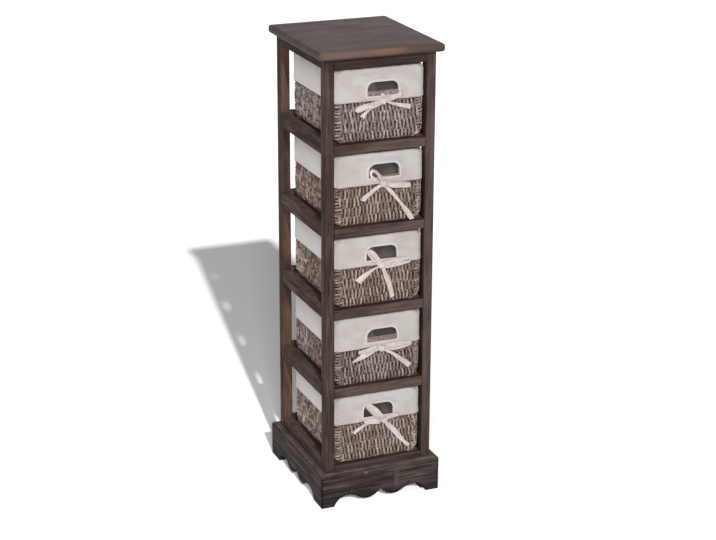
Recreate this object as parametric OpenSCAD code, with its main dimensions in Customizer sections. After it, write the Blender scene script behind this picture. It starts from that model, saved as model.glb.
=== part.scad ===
// Five-tier basket shelf: a dowelled wooden rack on a shaped plinth,
// with a lined woven basket standing in each bay.
// Millimetres. X runs left to right along the front, Y runs back, Z up.
// The origin is on the floor under the middle of the rack.

/* [Rack] */
// Width over the posts, left to right
rack_w = 240; // [200:1:400]
// Depth over the posts, front to back
rack_d = 276; // [230:1:450]
// Height from one shelf to the next
tier_pitch = 175; // [150:1:260]
// How far the lowest shelf stands above the plinth
shelf_over_plinth = 11; // [8:1:60]

/* [Posts and rails] */
// Width of a post, left to right
post_w = 20; // [18:1:40]
// Depth of a post, front to back
post_d = 24; // [22:1:40]
// Thickness of every rail
rail_t = 18; // [14:1:20]
// Height of the front rails and of the rails under the top
front_rail_h = 20; // [16:1:30]
// How far the side and back rails rise above the shelf
side_rise = 10; // [3:1:24]
// Rounding along the edges of posts and rails
edge_r = 1.5; // [0.5:0.1:3]

/* [Top] */
// Thickness of the top
top_t = 18; // [14:1:36]
// How far the top overhangs the posts at each side
top_over_side = 13; // [0:1:40]
// How far the top overhangs the posts at front and back
top_over_front = 12; // [0:1:40]
// Rounding of the top's edges
top_round = 6; // [1:0.5:6.5]

/* [Plinth] */
// Height of the plinth boards
plinth_h = 76; // [70:1:80]
// Thickness of the plinth boards
plinth_t = 15; // [12:1:24]
// Rounding of the plinth's upper outer edge
plinth_round = 5; // [1:0.5:8]
// Radius of the two lobes that hang at the middle of each board
lobe_r = 35.2; // [32.5:0.1:38]
// Distance of each lobe's centre from the middle of the board
lobe_x = 31; // [26:0.5:32]
// Height of the lobes above the floor
lobe_clear = 8.5; // [6:0.5:12]
// Radius of the arch beside each foot
arch_r = 34; // [31:0.5:36]
// Distance of each arch's centre from the middle of the board
arch_x = 74; // [70:0.5:76]

/* [Shelf panels] */
// Thickness of the thin panel under each basket
panel_t = 4; // [3:0.5:8]
// Depth of the grooves that hold the panel
groove_d = 6; // [3:0.5:8]

/* [Dowels] */
// Diameter of the dowels
dowel_d = 6; // [4:0.5:7]
// Length of dowel in a post
dowel_in_post = 10; // [6:0.5:12]
// Length of dowel in a rail
dowel_in_rail = 18; // [8:0.5:24]
// Length of dowel in the top
dowel_in_top = 10; // [6:0.5:11]
// Length of dowel in a plinth board
dowel_in_plinth = 9; // [5:0.5:10]

/* [Baskets] */
// Gap between a basket's liner and the post beside it
basket_side_gap = 3; // [1:0.5:10]
// Gap between a basket's liner and the rail above it
basket_top_gap = 4.5; // [2:0.5:20]
// How far a basket stands back from the front of the posts
basket_recess = 4; // [1:0.5:20]
// Gap between a basket's liner and the back rail
basket_back_gap = 14; // [4:1:60]
// Thickness of the woven wall
weave_t = 6; // [4:0.5:10]
// Thickness of the woven floor
weave_floor_t = 5; // [4:0.5:10]
// Outer corner radius of the basket, seen from above
basket_r = 14; // [12:0.5:24]
// Rounding along the basket's front and back bottom edges
basket_bottom_r = 9; // [4:0.5:11]
// Rounding along the basket's left and right bottom edges
basket_side_r = 20; // [14:0.5:30]
// Diameter of the wire frame inside the weave
wire_d = 3; // [2:0.5:4]

/* [Liners and ties] */
// Thickness of the liner cloth with its seams
liner_t = 1.5; // [1:0.1:3]
// Length of the cloth skirt that hangs outside the rim
skirt_l = 66; // [64:1:78]
// Width of the hand hole
slot_w = 69; // [60:1:90]
// Height of the hand hole
slot_h = 30; // [24:1:32]
// Cloth left above the hand hole
slot_drop = 25; // [20:1:26]
// Radius of the hand hole's upper corners
slot_r = 16; // [8:0.5:20]
// How far the weave shows inside the edge of the cloth's hole
slot_lip = 2.5; // [0:0.5:4]
// Thickness of the ribbon as it lies against the skirt
ribbon_t = 2; // [1:0.1:4]
// Diameter of the bow's knot
knot_d = 13; // [8:0.5:18]
// How far the knot stands out from the skirt
knot_t = 8; // [4:0.5:12]

/* [Hidden] */
// Number of baskets, one above another
tiers = 5;
// Slack round a dowel, and at each of its ends
dowel_fit = 0.05;
dowel_end_gap = 0.5;
// Slack between a panel and the wood round it
panel_fit = 0.5;
// Gap under a basket, and between the wire frame and the liner
seat_gap = 0.3;
wire_fit = 0.3;
// How far a ribbon bulges where it bends
bend_bulge = 0.3;
// Ease between the weave and the skirt that hangs over it
skirt_ease = 0.5;
// Length by which a cutter runs past what it cuts
over = 1;
// Heights of the plinth dowels, one above the other so that they don't meet
plinth_dowel_front_z = 46;
plinth_dowel_side_z = 30;
// Where the middle of each hand hole is, bottom basket first
slot_x = [1.5, 9, 6.5, 10.5, 6.5];
// How much lower each hand hole is cut than slot_drop says, bottom basket first
slot_lower = [-2.5, 4, -2, -2.5, 2.5];
// How much longer each skirt is than skirt_l says, bottom basket first
skirt_more = [-5, 4, -2, 0, 1];

// Each bow from the bottom basket up. A bow is its knot and then its strands,
// and a strand is its width and its points. Points are x from the middle
// of the basket and z from the skirt's hem.
bows = [
    [[10, -1],
        [12, [[13, 1], [-4, 22], [-25, 36]]],
        [8, [[6, -1], [-27, -6], [-55, -22]]],
        [9, [[14, -3], [52, -5], [66, -4]]],
        [9, [[13, -5], [19, -12], [33, -29], [52, -51], [71, -73]]]],
    [[4, -3],
        [9, [[1, -2], [-23, -3], [-41, -5]]],
        [9, [[0, -5], [-19, -11], [-41, -20], [-57, -26]]],
        [9, [[7, -2], [38, 0], [68, 1], [70, -5], [45, -10], [12, -6]]],
        [9, [[8, -5], [20, -10], [34, -18], [50, -33], [71, -53]]]],
    [[4, 1],
        [10, [[1, 5], [-13, 23], [-22, 31], [-23, 25], [-9, 9]]],
        [12, [[1, -1], [-26, -14], [-46, -31]]],
        [9, [[8, 3], [36, 4], [63, 6], [65, 0], [47, -4], [11, -3]]],
        [10, [[6, -3], [14, -24], [25, -52], [30, -73]]]],
    [[4, 1],
        [9, [[4, 4], [-4, 21], [-14, 31], [-22, 24], [-9, 9], [1, 3]]],
        [10, [[1, -1], [-16, -11], [-40, -30]]],
        [11, [[7, 1], [28, -3], [56, -6]]],
        [9, [[8, -3], [28, -21], [44, -39], [55, -55], [71, -79]]]],
    [[4, 0],
        [12, [[3, 1], [-13, -6], [-31, -12], [-48, -14]]],
        [9, [[0, -4], [-22, -16], [-39, -30]]],
        [11, [[6, 1], [26, 6], [43, 9]]],
        [11, [[8, -2], [32, -9], [65, -17]]]]
];

wood_colour = [0.27, 0.22, 0.205];
top_colour = [0.33, 0.28, 0.265];
panel_colour = [0.36, 0.29, 0.24];
dowel_colour = [0.72, 0.58, 0.40];
weave_colours = [
    [0.50, 0.42, 0.37],
    [0.46, 0.40, 0.38],
    [0.52, 0.43, 0.38],
    [0.50, 0.42, 0.35],
    [0.48, 0.42, 0.40]
];
wire_colour = [0.35, 0.35, 0.36];
liner_colour = [0.82, 0.80, 0.77];
ribbon_colour = [0.89, 0.86, 0.83];

levels = [1 : tiers + 1];
function shelf_z(i) = plinth_h + shelf_over_plinth + (i - 1) * tier_pitch;
top_z = shelf_z(tiers + 1);

bay_w = rack_w - 2 * post_w;
bay_d = rack_d - 2 * post_d;
rail_x = rack_w / 2 - rail_t / 2;
rail_y = rack_d / 2 - rail_t / 2;
post_x = rack_w / 2 - post_w / 2;
post_y = rack_d / 2 - post_d / 2;
function side_top(i) = shelf_z(i) + (i > tiers ? 0 : side_rise);
function side_h(i) = side_top(i) - shelf_z(i) + front_rail_h;
function side_mid(i) = side_top(i) - side_h(i) / 2;

// The grooves' reach, left to right and front to back
groove_w = rack_w - 2 * rail_t + 2 * groove_d;
groove_l = rack_d - 2 * rail_t + 2 * groove_d;

// Outline of the plinth's lower edge: the arches touch the lobes.
lobe_z = lobe_clear + lobe_r;
arch_z = lobe_z - sqrt(pow(lobe_r + arch_r, 2) - pow(arch_x - lobe_x, 2));
meet_x = lobe_x + (arch_x - lobe_x) * lobe_r / (lobe_r + arch_r);

// Baskets fill their bays apart from the named gaps.
skirt_w = bay_w - 2 * basket_side_gap;
basket_front_y = -rack_d / 2 + basket_recess;
basket_back_y = rack_d / 2 - rail_t - basket_back_gap;
skirt_d = basket_back_y - basket_front_y;
basket_y = (basket_front_y + basket_back_y) / 2;
cloth_out = skirt_ease + liner_t;
weave_w = skirt_w - 2 * cloth_out;
weave_d = skirt_d - 2 * cloth_out;
weave_h = tier_pitch - front_rail_h - basket_top_gap - seat_gap - liner_t;
rim_h = weave_h + liner_t;
bag_in = weave_t + wire_d + wire_fit;
function hem_h(i) = rim_h - skirt_l - skirt_more[i - 1];
function slot_z(i) = rim_h - slot_drop - slot_lower[i - 1] - slot_h;
wire_in = weave_t + wire_d / 2;
wire_r = basket_r - wire_in;

// The bows are drawn for a skirt 194 wide whose hem is 84 above the shelf, and shrink on a smaller one.
bow_fit = min(1, skirt_w / 194, (rim_h - skirt_l) / 84);

function numbered(name, last) = [for (i = [1 : last]) str(name, i)];

// A rectangle with round corners, centred
module round_rect(w, d, r) {
    square([w - 2 * r, d], center = true);
    square([w, d - 2 * r], center = true);
    for (sx = [-1, 1], sy = [-1, 1])
        translate([sx * (w / 2 - r), sy * (d / 2 - r)])
            circle(r = r, $fn = 48);
}

// A bar along X, Y or Z with its four long edges rounded
module bar_x(l, d, h, r) rotate([90, 0, 90]) linear_extrude(l, center = true) round_rect(d, h, r);
module bar_y(w, l, h, r) rotate([90, 0, 0]) linear_extrude(l, center = true) round_rect(w, h, r);
module bar_z(w, d, l, r) linear_extrude(l) round_rect(w, d, r);

// A dowel's site: where its joint is, which way it runs, and its length before and after the joint
function end_peg(sx, sy, i) =
    [[sx * bay_w / 2, sy * rail_y, shelf_z(i) - front_rail_h / 2], [0, sx * 90, 0],
        dowel_in_rail, dowel_in_post];
function side_peg(sx, sy, i) =
    [[sx * rail_x, sy * bay_d / 2, side_mid(i)], [-sy * 90, 0, 0], dowel_in_rail, dowel_in_post];
function top_peg_cross(sx, sy) =
    [[sx * bay_w / 4, sy * rail_y, top_z], [0, 0, 0], front_rail_h / 2, dowel_in_top];
function top_peg_side(sx, sy) =
    [[sx * rail_x, sy * bay_d / 4, top_z], [0, 0, 0], front_rail_h / 2, dowel_in_top];
function plinth_peg_cross(sx, sy) =
    [[sx * post_x, sy * rack_d / 2, plinth_dowel_front_z], [-sy * 90, 0, 0], dowel_in_post, dowel_in_plinth];
function plinth_peg_side(sx, sy) =
    [[sx * rack_w / 2, sy * post_y, plinth_dowel_side_z], [0, sx * 90, 0], dowel_in_post, dowel_in_plinth];

module peg(site, d, end) {
    translate(site[0])
        rotate(site[1])
            translate([0, 0, -site[2] - end])
                cylinder(h = site[2] + site[3] + 2 * end, d = d, $fn = 32);
}

module peg_holes(sites) {
    for (site = sites)
        peg(site, dowel_d + 2 * dowel_fit, dowel_end_gap);
}

module post(sx, sy) {
    color(wood_colour)
        difference() {
            translate([sx * post_x, sy * post_y, 0])
                bar_z(post_w, post_d, top_z, edge_r);
            peg_holes([for (i = levels) end_peg(sx, sy, i)]);
            peg_holes([for (i = levels) side_peg(sx, sy, i)]);
            peg_holes([plinth_peg_cross(sx, sy), plinth_peg_side(sx, sy)]);
        }
}

// The space that a panel and its play take out of the rails round it
module panel_groove(i) {
    translate([0, 0, shelf_z(i) - panel_t / 2])
        cube([groove_w, groove_l, panel_t], center = true);
}

// A front or back rail; the front ones are rebated and let the panel in from above
module rail_cross(sy, i) {
    h = sy < 0 ? front_rail_h : side_h(i);
    color(wood_colour)
        difference() {
            translate([0, sy * rail_y, shelf_z(i) - front_rail_h + h / 2])
                bar_x(bay_w, rail_t, h, edge_r);
            peg_holes([for (sx = [-1, 1]) end_peg(sx, sy, i)]);
            if (i <= tiers)
                panel_groove(i);
            else
                peg_holes([for (sx = [-1, 1]) top_peg_cross(sx, sy)]);
        }
}

module rail_side(sx, i) {
    color(wood_colour)
        difference() {
            translate([sx * rail_x, 0, side_mid(i)])
                bar_y(rail_t, bay_d, side_h(i), edge_r);
            peg_holes([for (sy = [-1, 1]) side_peg(sx, sy, i)]);
            if (i <= tiers)
                panel_groove(i);
            else
                peg_holes([for (sy = [-1, 1]) top_peg_side(sx, sy)]);
        }
}

// A thin panel in the rails' grooves, notched round the posts
module shelf_panel(i) {
    w = groove_w - 2 * panel_fit;
    d = groove_l - 2 * panel_fit;
    color(panel_colour)
        translate([0, 0, shelf_z(i) - panel_t])
            linear_extrude(panel_t)
                difference() {
                    square([w, d], center = true);
                    for (sx = [-1, 1], sy = [-1, 1])
                        translate([sx * rack_w / 2, sy * rack_d / 2])
                            square([2 * (post_w + panel_fit), 2 * (post_d + panel_fit)], center = true);
                }
}

module top() {
    w = rack_w + 2 * top_over_side;
    d = rack_d + 2 * top_over_front;
    color(top_colour)
        difference() {
            translate([0, 0, top_z + top_t / 2])
                intersection() {
                    bar_x(w, d, top_t, top_round);
                    bar_y(w, d, top_t, top_round);
                }
            peg_holes([for (sx = [-1, 1], sy = [-1, 1]) top_peg_cross(sx, sy)]);
            peg_holes([for (sx = [-1, 1], sy = [-1, 1]) top_peg_side(sx, sy)]);
        }
}

// Lower edge of a plinth board: a foot at each end, then an arch, then two lobes that meet in a cusp
module skirt_outline(l) {
    difference() {
        translate([-l / 2, 0])
            square([l, plinth_h]);
        difference() {
            translate([-meet_x, -over])
                square([2 * meet_x, lobe_z + over]);
            for (s = [-1, 1])
                translate([s * lobe_x, lobe_z])
                    circle(r = lobe_r, $fn = 96);
        }
        for (s = [-1, 1])
            translate([s * arch_x, arch_z])
                circle(r = arch_r, $fn = 96);
    }
}

// A plinth board along X whose inner face lies at y = 0 and whose outer face looks to -Y
module plinth_board(l) {
    inner = l - 2 * plinth_t;
    intersection() {
        rotate([90, 0, 0])
            linear_extrude(plinth_t)
                skirt_outline(l);
        linear_extrude(plinth_h)
            polygon([[-inner / 2, 0], [inner / 2, 0], [l / 2, -plinth_t], [-l / 2, -plinth_t]]);
        rotate([90, 0, 90])
            linear_extrude(l, center = true) {
                translate([-plinth_t, 0])
                    square([plinth_t, plinth_h - plinth_round]);
                translate([-plinth_t + plinth_round, 0])
                    square([plinth_t - plinth_round, plinth_h]);
                translate([-plinth_t + plinth_round, plinth_h - plinth_round])
                    circle(r = plinth_round, $fn = 48);
            }
    }
}

module plinth_cross(sy) {
    color(wood_colour)
        difference() {
            rotate([0, 0, sy < 0 ? 0 : 180])
                translate([0, -rack_d / 2, 0])
                    plinth_board(rack_w + 2 * plinth_t);
            peg_holes([for (sx = [-1, 1]) plinth_peg_cross(sx, sy)]);
        }
}

module plinth_side(sx) {
    color(wood_colour)
        difference() {
            rotate([0, 0, sx < 0 ? -90 : 90])
                translate([0, -rack_w / 2, 0])
                    plinth_board(rack_d + 2 * plinth_t);
            peg_holes([for (sy = [-1, 1]) plinth_peg_side(sx, sy)]);
        }
}

module dowels() {
    color(dowel_colour)
        for (sx = [-1, 1], sy = [-1, 1]) {
            for (i = levels) {
                peg(end_peg(sx, sy, i), dowel_d, 0);
                peg(side_peg(sx, sy, i), dowel_d, 0);
            }
            peg(top_peg_cross(sx, sy), dowel_d, 0);
            peg(top_peg_side(sx, sy), dowel_d, 0);
            peg(plinth_peg_cross(sx, sy), dowel_d, 0);
            peg(plinth_peg_side(sx, sy), dowel_d, 0);
        }
}

module at_basket(i) translate([0, basket_y, shelf_z(i) + seat_gap]) children();

// Outline of a basket seen along Y or X: straight walls with round lower corners
module basket_profile(w, h, r) {
    translate([-w / 2, r])
        square([w, h - r]);
    translate([-w / 2 + r, 0])
        square([w - 2 * r, r + over]);
    for (s = [-1, 1])
        translate([s * (w / 2 - r), r])
            circle(r = r, $fn = 48);
}

// An upright box with round corners, whose left and right bottom edges are round as well
module round_bag(w, d, h, r, side_r) {
    intersection() {
        linear_extrude(h)
            round_rect(w, d, r);
        rotate([90, 0, 0])
            linear_extrude(d + 2 * over, center = true)
                basket_profile(w, h + over, side_r);
    }
}

// The hand hole: flat below, with round shoulders
module slot_outline(w, h, r) {
    translate([-w / 2, 0])
        square([w, h - r]);
    translate([-w / 2 + r, 0])
        square([w - 2 * r, h]);
    for (s = [-1, 1])
        translate([s * (w / 2 - r), h - r])
            circle(r = r, $fn = 48);
}

// Cuts the hand hole through the front wall, with the given lip left inside it
module slot_cut(i, lip) {
    translate([slot_x[i - 1], 0, slot_z(i) + lip])
        rotate([90, 0, 0])
            linear_extrude(skirt_d)
                slot_outline(slot_w - 2 * lip, slot_h - 2 * lip, slot_r - lip);
}

module basket_weave(i) {
    color(weave_colours[i - 1])
        at_basket(i)
            difference() {
                intersection() {
                    round_bag(weave_w, weave_d, weave_h, basket_r, basket_side_r);
                    rotate([90, 0, 90])
                        linear_extrude(weave_w + 2 * over, center = true)
                            basket_profile(weave_d, weave_h, basket_bottom_r);
                }
                translate([0, 0, weave_floor_t]) {
                    w = weave_w - 2 * weave_t;
                    d = weave_d - 2 * weave_t;
                    round_bag(w, d, weave_h, basket_r - weave_t, basket_side_r - weave_t);
                }
                slot_cut(i, slot_lip);
            }
}

// A ring of wire that follows the inside of the basket's wall
module wire_ring() {
    x = weave_w / 2 - wire_in;
    y = weave_d / 2 - wire_in;
    for (s = [-1, 1]) {
        translate([0, s * y, 0])
            rotate([0, 90, 0])
                cylinder(h = 2 * (x - wire_r), d = wire_d, center = true, $fn = 24);
        translate([s * x, 0, 0])
            rotate([90, 0, 0])
                cylinder(h = 2 * (y - wire_r), d = wire_d, center = true, $fn = 24);
    }
    for (q = [0 : 3])
        translate([(q == 0 || q == 3 ? 1 : -1) * (x - wire_r), (q < 2 ? 1 : -1) * (y - wire_r), 0])
            rotate([0, 0, q * 90])
                rotate_extrude(angle = 90, $fn = 48)
                    translate([wire_r, 0])
                        circle(d = wire_d, $fn = 24);
}

// Wire frame of a basket: a ring at the rim, one low on the straight wall and an upright in each corner
module basket_wire(i) {
    low = max(basket_side_r, weave_floor_t + wire_d / 2);
    high = weave_h - wire_d / 2;
    corner = wire_r * cos(45);
    color(wire_colour)
        at_basket(i) {
            for (z = [low, high])
                translate([0, 0, z])
                    wire_ring();
            for (sx = [-1, 1], sy = [-1, 1])
                translate([
                    sx * (weave_w / 2 - wire_in - wire_r + corner),
                    sy * (weave_d / 2 - wire_in - wire_r + corner),
                    low
                ])
                    cylinder(h = high - low, d = wire_d, $fn = 24);
        }
}

module basket_liner(i) {
    hung_w = weave_w + 2 * skirt_ease;
    hung_d = weave_d + 2 * skirt_ease;
    bag_w = weave_w - 2 * bag_in;
    bag_d = weave_d - 2 * bag_in;
    bag_r = basket_r - bag_in;
    bag_side_r = basket_side_r - bag_in;
    color(liner_colour)
        at_basket(i)
            difference() {
                union() {
                    translate([0, 0, hem_h(i)])
                        linear_extrude(rim_h - hem_h(i))
                            round_rect(skirt_w, skirt_d, basket_r + cloth_out);
                    translate([0, 0, weave_floor_t])
                        round_bag(bag_w, bag_d, rim_h - weave_floor_t, bag_r, bag_side_r);
                }
                translate([0, 0, hem_h(i) - over])
                    linear_extrude(rim_h - liner_t - hem_h(i) + over)
                        difference() {
                            round_rect(hung_w, hung_d, basket_r + skirt_ease);
                            round_rect(bag_w, bag_d, bag_r);
                        }
                translate([0, 0, weave_floor_t + liner_t])
                    round_bag(bag_w - 2 * liner_t, bag_d - 2 * liner_t, rim_h, bag_r - liner_t,
                        bag_side_r - liner_t);
                slot_cut(i, 0);
            }
}

// A ribbon's strand, laid flat: straight lengths that bulge a little where it bends
module strand(width, points) {
    for (k = [0 : len(points) - 2]) {
        a = points[k] * bow_fit;
        b = points[k + 1] * bow_fit;
        l = norm(b - a);
        n = [a[1] - b[1], b[0] - a[0]] * width / (2 * l);
        polygon([a + n, a - n, b - n, b + n]);
        if (k > 0)
            translate(a)
                circle(d = width + 2 * bend_bulge, $fn = 24);
    }
}

// The ribbon bow that closes the skirt under the hand hole
module basket_bow(i) {
    bow = bows[i - 1];
    color(ribbon_colour)
        translate([0, basket_front_y, shelf_z(i) + seat_gap + hem_h(i)])
            rotate([90, 0, 0]) {
                linear_extrude(ribbon_t)
                    for (k = [1 : len(bow) - 1])
                        strand(bow[k][0], bow[k][1]);
                translate(bow[0] * bow_fit)
                    cylinder(h = knot_t, d = knot_d, $fn = 32);
            }
}

top();
post(-1, -1);  // post_front_left
post(1, -1);  // post_front_right
post(-1, 1);  // post_back_left
post(1, 1);  // post_back_right
for (i = levels) {
    rail_cross(-1, i);
    rail_cross(1, i);
    rail_side(-1, i);
    rail_side(1, i);
}
for (i = [1 : tiers]) {
    shelf_panel(i);
    basket_weave(i);
    basket_wire(i);
    basket_liner(i);
    basket_bow(i);
}
plinth_cross(-1);  // plinth_front
plinth_cross(1);  // plinth_back
plinth_side(-1);  // plinth_left
plinth_side(1);  // plinth_right
dowels();
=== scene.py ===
import bpy
import math
import random
import numpy as np
from mathutils import Matrix, Vector, noise


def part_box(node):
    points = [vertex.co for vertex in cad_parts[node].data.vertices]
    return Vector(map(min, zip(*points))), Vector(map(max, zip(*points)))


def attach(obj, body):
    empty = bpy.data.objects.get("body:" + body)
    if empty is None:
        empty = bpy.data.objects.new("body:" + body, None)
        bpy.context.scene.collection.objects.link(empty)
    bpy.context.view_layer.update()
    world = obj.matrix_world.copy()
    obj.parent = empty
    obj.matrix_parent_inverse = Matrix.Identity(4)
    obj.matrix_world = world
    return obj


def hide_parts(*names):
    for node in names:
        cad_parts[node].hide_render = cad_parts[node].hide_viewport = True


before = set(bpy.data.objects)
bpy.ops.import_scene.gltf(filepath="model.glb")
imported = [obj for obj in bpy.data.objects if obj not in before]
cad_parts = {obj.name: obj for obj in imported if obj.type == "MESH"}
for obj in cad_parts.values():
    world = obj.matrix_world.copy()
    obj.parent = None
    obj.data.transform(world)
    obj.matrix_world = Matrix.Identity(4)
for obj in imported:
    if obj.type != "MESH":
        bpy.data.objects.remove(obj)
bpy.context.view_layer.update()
scene = bpy.context.scene
print("frame loaded with", len(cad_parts), "nodes")


# camera

cameraPlan = {
    "place": (-1.4129, -3.4312, 1.7690),
    "yaw": 22.51, "pitch": 19.31, "roll": 0.23,  # degrees
    "focal": 1845.6, "frameWidth": 716,  # pixels
    "film": 36, "sight": 60,  # millimetres and metres
}


def setCamera(plan):
    yaw, pitch, roll = (math.radians(plan[k]) for k in ("yaw", "pitch", "roll"))
    ahead = Vector((math.sin(yaw) * math.cos(pitch), math.cos(yaw) * math.cos(pitch), -math.sin(pitch)))
    level = Vector((math.cos(yaw), -math.sin(yaw), 0))
    upright = level.cross(ahead)
    right = level * math.cos(roll) + upright * math.sin(roll)
    up = upright * math.cos(roll) - level * math.sin(roll)
    turn = Matrix((right, up, -ahead)).transposed().to_4x4()
    turn.translation = Vector(plan["place"])
    camera = bpy.data.objects.new("camera", bpy.data.cameras.new("camera"))
    scene.collection.objects.link(camera)
    camera.data.sensor_width = plan["film"]
    camera.data.lens = plan["focal"] / plan["frameWidth"] * plan["film"]
    camera.data.clip_end = plan["sight"]
    camera.matrix_world = turn
    scene.camera = camera


setCamera(cameraPlan)


# shader tools

def srgb(r, g, b):
    # a colour as a screen shows it, 0 to 255, in the renderer's own numbers
    return tuple(c / 3294.6 if c <= 10 else ((c / 255 + 0.055) / 1.055) ** 2.4 for c in (r, g, b)) + (1,)


class Flow:
    # one socket, so that shader maths reads as plain expressions
    def __init__(self, finish, socket):
        self.finish, self.socket = finish, socket

    def maths(self, operation, *rest):
        return self.finish.add("ShaderNodeMath", {"operation": operation}, (self, *rest))

    def __add__(self, other):
        return self.maths("ADD", other)

    def __mul__(self, other):
        return self.maths("MULTIPLY", other)

    def __sub__(self, other):
        return self.maths("SUBTRACT", other)

    def __rsub__(self, other):
        return self.finish.add("ShaderNodeMath", {"operation": "SUBTRACT"}, (other, self))

    def __truediv__(self, other):
        return self.maths("DIVIDE", other)

    def __pow__(self, other):
        return self.maths("POWER", other)

    __radd__, __rmul__ = __add__, __mul__


class Finish:
    # a material, or the world, and the nodes in it
    def __init__(self, name, holder=None):
        self.holder = holder or bpy.data.materials.new(name)
        self.holder.use_nodes = True
        self.tree = self.holder.node_tree
        self.tree.nodes.clear()

    def add(self, kind, settings=None, sockets=(), out=0):
        node = self.tree.nodes.new(kind)
        for key, value in (settings or {}).items():
            if key == "stops":
                ramp = node.color_ramp.elements
                while len(ramp) < len(value):
                    ramp.new(0.5)
                for stop, (place, colour) in zip(ramp, value):
                    stop.position, stop.color = place, colour
            else:
                setattr(node, key, value)
        for key, value in (sockets.items() if isinstance(sockets, dict) else enumerate(sockets)):
            if isinstance(value, Flow):
                self.tree.links.new(value.socket, node.inputs[key])
            else:
                node.inputs[key].default_value = value
        return Flow(self, node.outputs[out])

    def place(self):
        return self.add("ShaderNodeTexCoord", out=3)

    def stretched(self, vector, scale, shift=(0, 0, 0)):
        return self.add("ShaderNodeMapping", {}, {"Vector": vector, "Scale": scale, "Location": shift})

    def noise(self, vector, scale, detail, rough):
        return self.add("ShaderNodeTexNoise", {},
                        {"Vector": vector, "Scale": scale, "Detail": detail, "Roughness": rough})

    def fit(self, value, low, high, start=0.0, end=1.0):
        # softly from start to end while value goes from low to high
        sockets = (value, low, high, start, end)
        return self.add("ShaderNodeMapRange", {"interpolation_type": "SMOOTHSTEP"}, sockets)

    def mix(self, share, a, b):
        a, b = (srgb(*colour) if isinstance(colour, tuple) else colour for colour in (a, b))
        return self.add("ShaderNodeMix", {"data_type": "RGBA"}, {0: share, 6: a, 7: b}, out=2)

    def blend(self, tone, colour, value, *span):
        # from tone to colour as value goes through span, which reads as in fit
        return self.mix(self.fit(value, *span), tone, colour)

    def ramp(self, value, *stops):
        stops = [(place, srgb(*colour)) for place, colour in stops]
        return self.add("ShaderNodeValToRGB", {"stops": stops}, (value,))

    def parts(self, vector):
        return [self.add("ShaderNodeSeparateXYZ", {}, (vector,), out=k) for k in range(3)]

    def joined(self, x, y, z):
        return self.add("ShaderNodeCombineXYZ", {}, (x, y, z))

    def facing(self):
        # the direction a face looks in
        return self.add("ShaderNodeNewGeometry", out=1)

    def read(self, attribute, out=1):
        return self.add("ShaderNodeAttribute", {"attribute_name": attribute}, out=out)

    def bump(self, height, depth, strength, normal=None):
        sockets = {"Strength": strength, "Distance": depth, "Height": height}
        return self.add("ShaderNodeBump", {}, sockets | ({"Normal": normal} if normal else {}))

    def end(self, shader):
        kind = "World" if isinstance(self.holder, bpy.types.World) else "Material"
        self.tree.links.new(shader.socket, self.tree.nodes.new("ShaderNodeOutput" + kind).inputs["Surface"])
        return self.holder

    def surface(self, grain, rough, **sockets):
        # grain is a noise that sets the roughness, from and to the values in rough
        names = {"colour": "Base Color", "metallic": "Metallic", "normal": "Normal",
                 "gloss": "Specular IOR Level", "sheen": "Sheen Weight", "sheenRoughness": "Sheen Roughness"}
        sockets = {names[key]: value for key, value in sockets.items()}
        sockets["Roughness"] = self.fit(grain, 0.3, 0.7, *rough)
        return self.end(self.add("ShaderNodeBsdfPrincipled", {}, sockets))

    def seenRays(self):
        # 1 for rays that show the floor and backdrop, 0 for those that light the object
        kinds = ("Is Camera Ray", "Is Glossy Ray", "Is Transmission Ray")
        seen, glossy, through = (self.add("ShaderNodeLightPath", out=kind) for kind in kinds)
        return seen.maths("MAXIMUM", glossy).maths("MAXIMUM", through)


# light, backdrop and floor

lightPlan = {
    "sunPower": 1.72, "sunSpread": 1.3, "sunTurn": -9.7, "sunHeight": 33.6,  # W/m2 and degrees
    "skyPower": 0.085,
    # soft boxes: power, place, what they face, size
    "boxes": [(43, (-1.39, -3.5, 1.92), (0, 0, 0.5), 0.55), (16.5, (-2.6, -0.6, 0.6), (0, 0, 0.5), 1.1)],
    "fill": (17, (2.2, 2.4, 0.9), (0, 0, 0.5), 1.4),  # for the back and right; leaves the floor alone
    "floorTone": 0.92, "floorReach": 16,
    # how much brighter the floor shows than it lights the object, near and far, and the distances
    "floorGain": (2.33, 3.2), "floorFar": (0.5, 2.6),
}


def addLight(name, kind, power, toward):
    # a light that shines from the direction toward
    light = bpy.data.objects.new(name, bpy.data.lights.new(name, kind))
    scene.collection.objects.link(light)
    light.data.energy = power
    light.rotation_euler = toward.to_track_quat("Z", "Y").to_euler()
    return light


def softBox(name, power, place, aim, size):
    box = addLight(name, "AREA", power, Vector(place) - Vector(aim))
    box.data.size = size
    box.location = place
    return box


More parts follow.
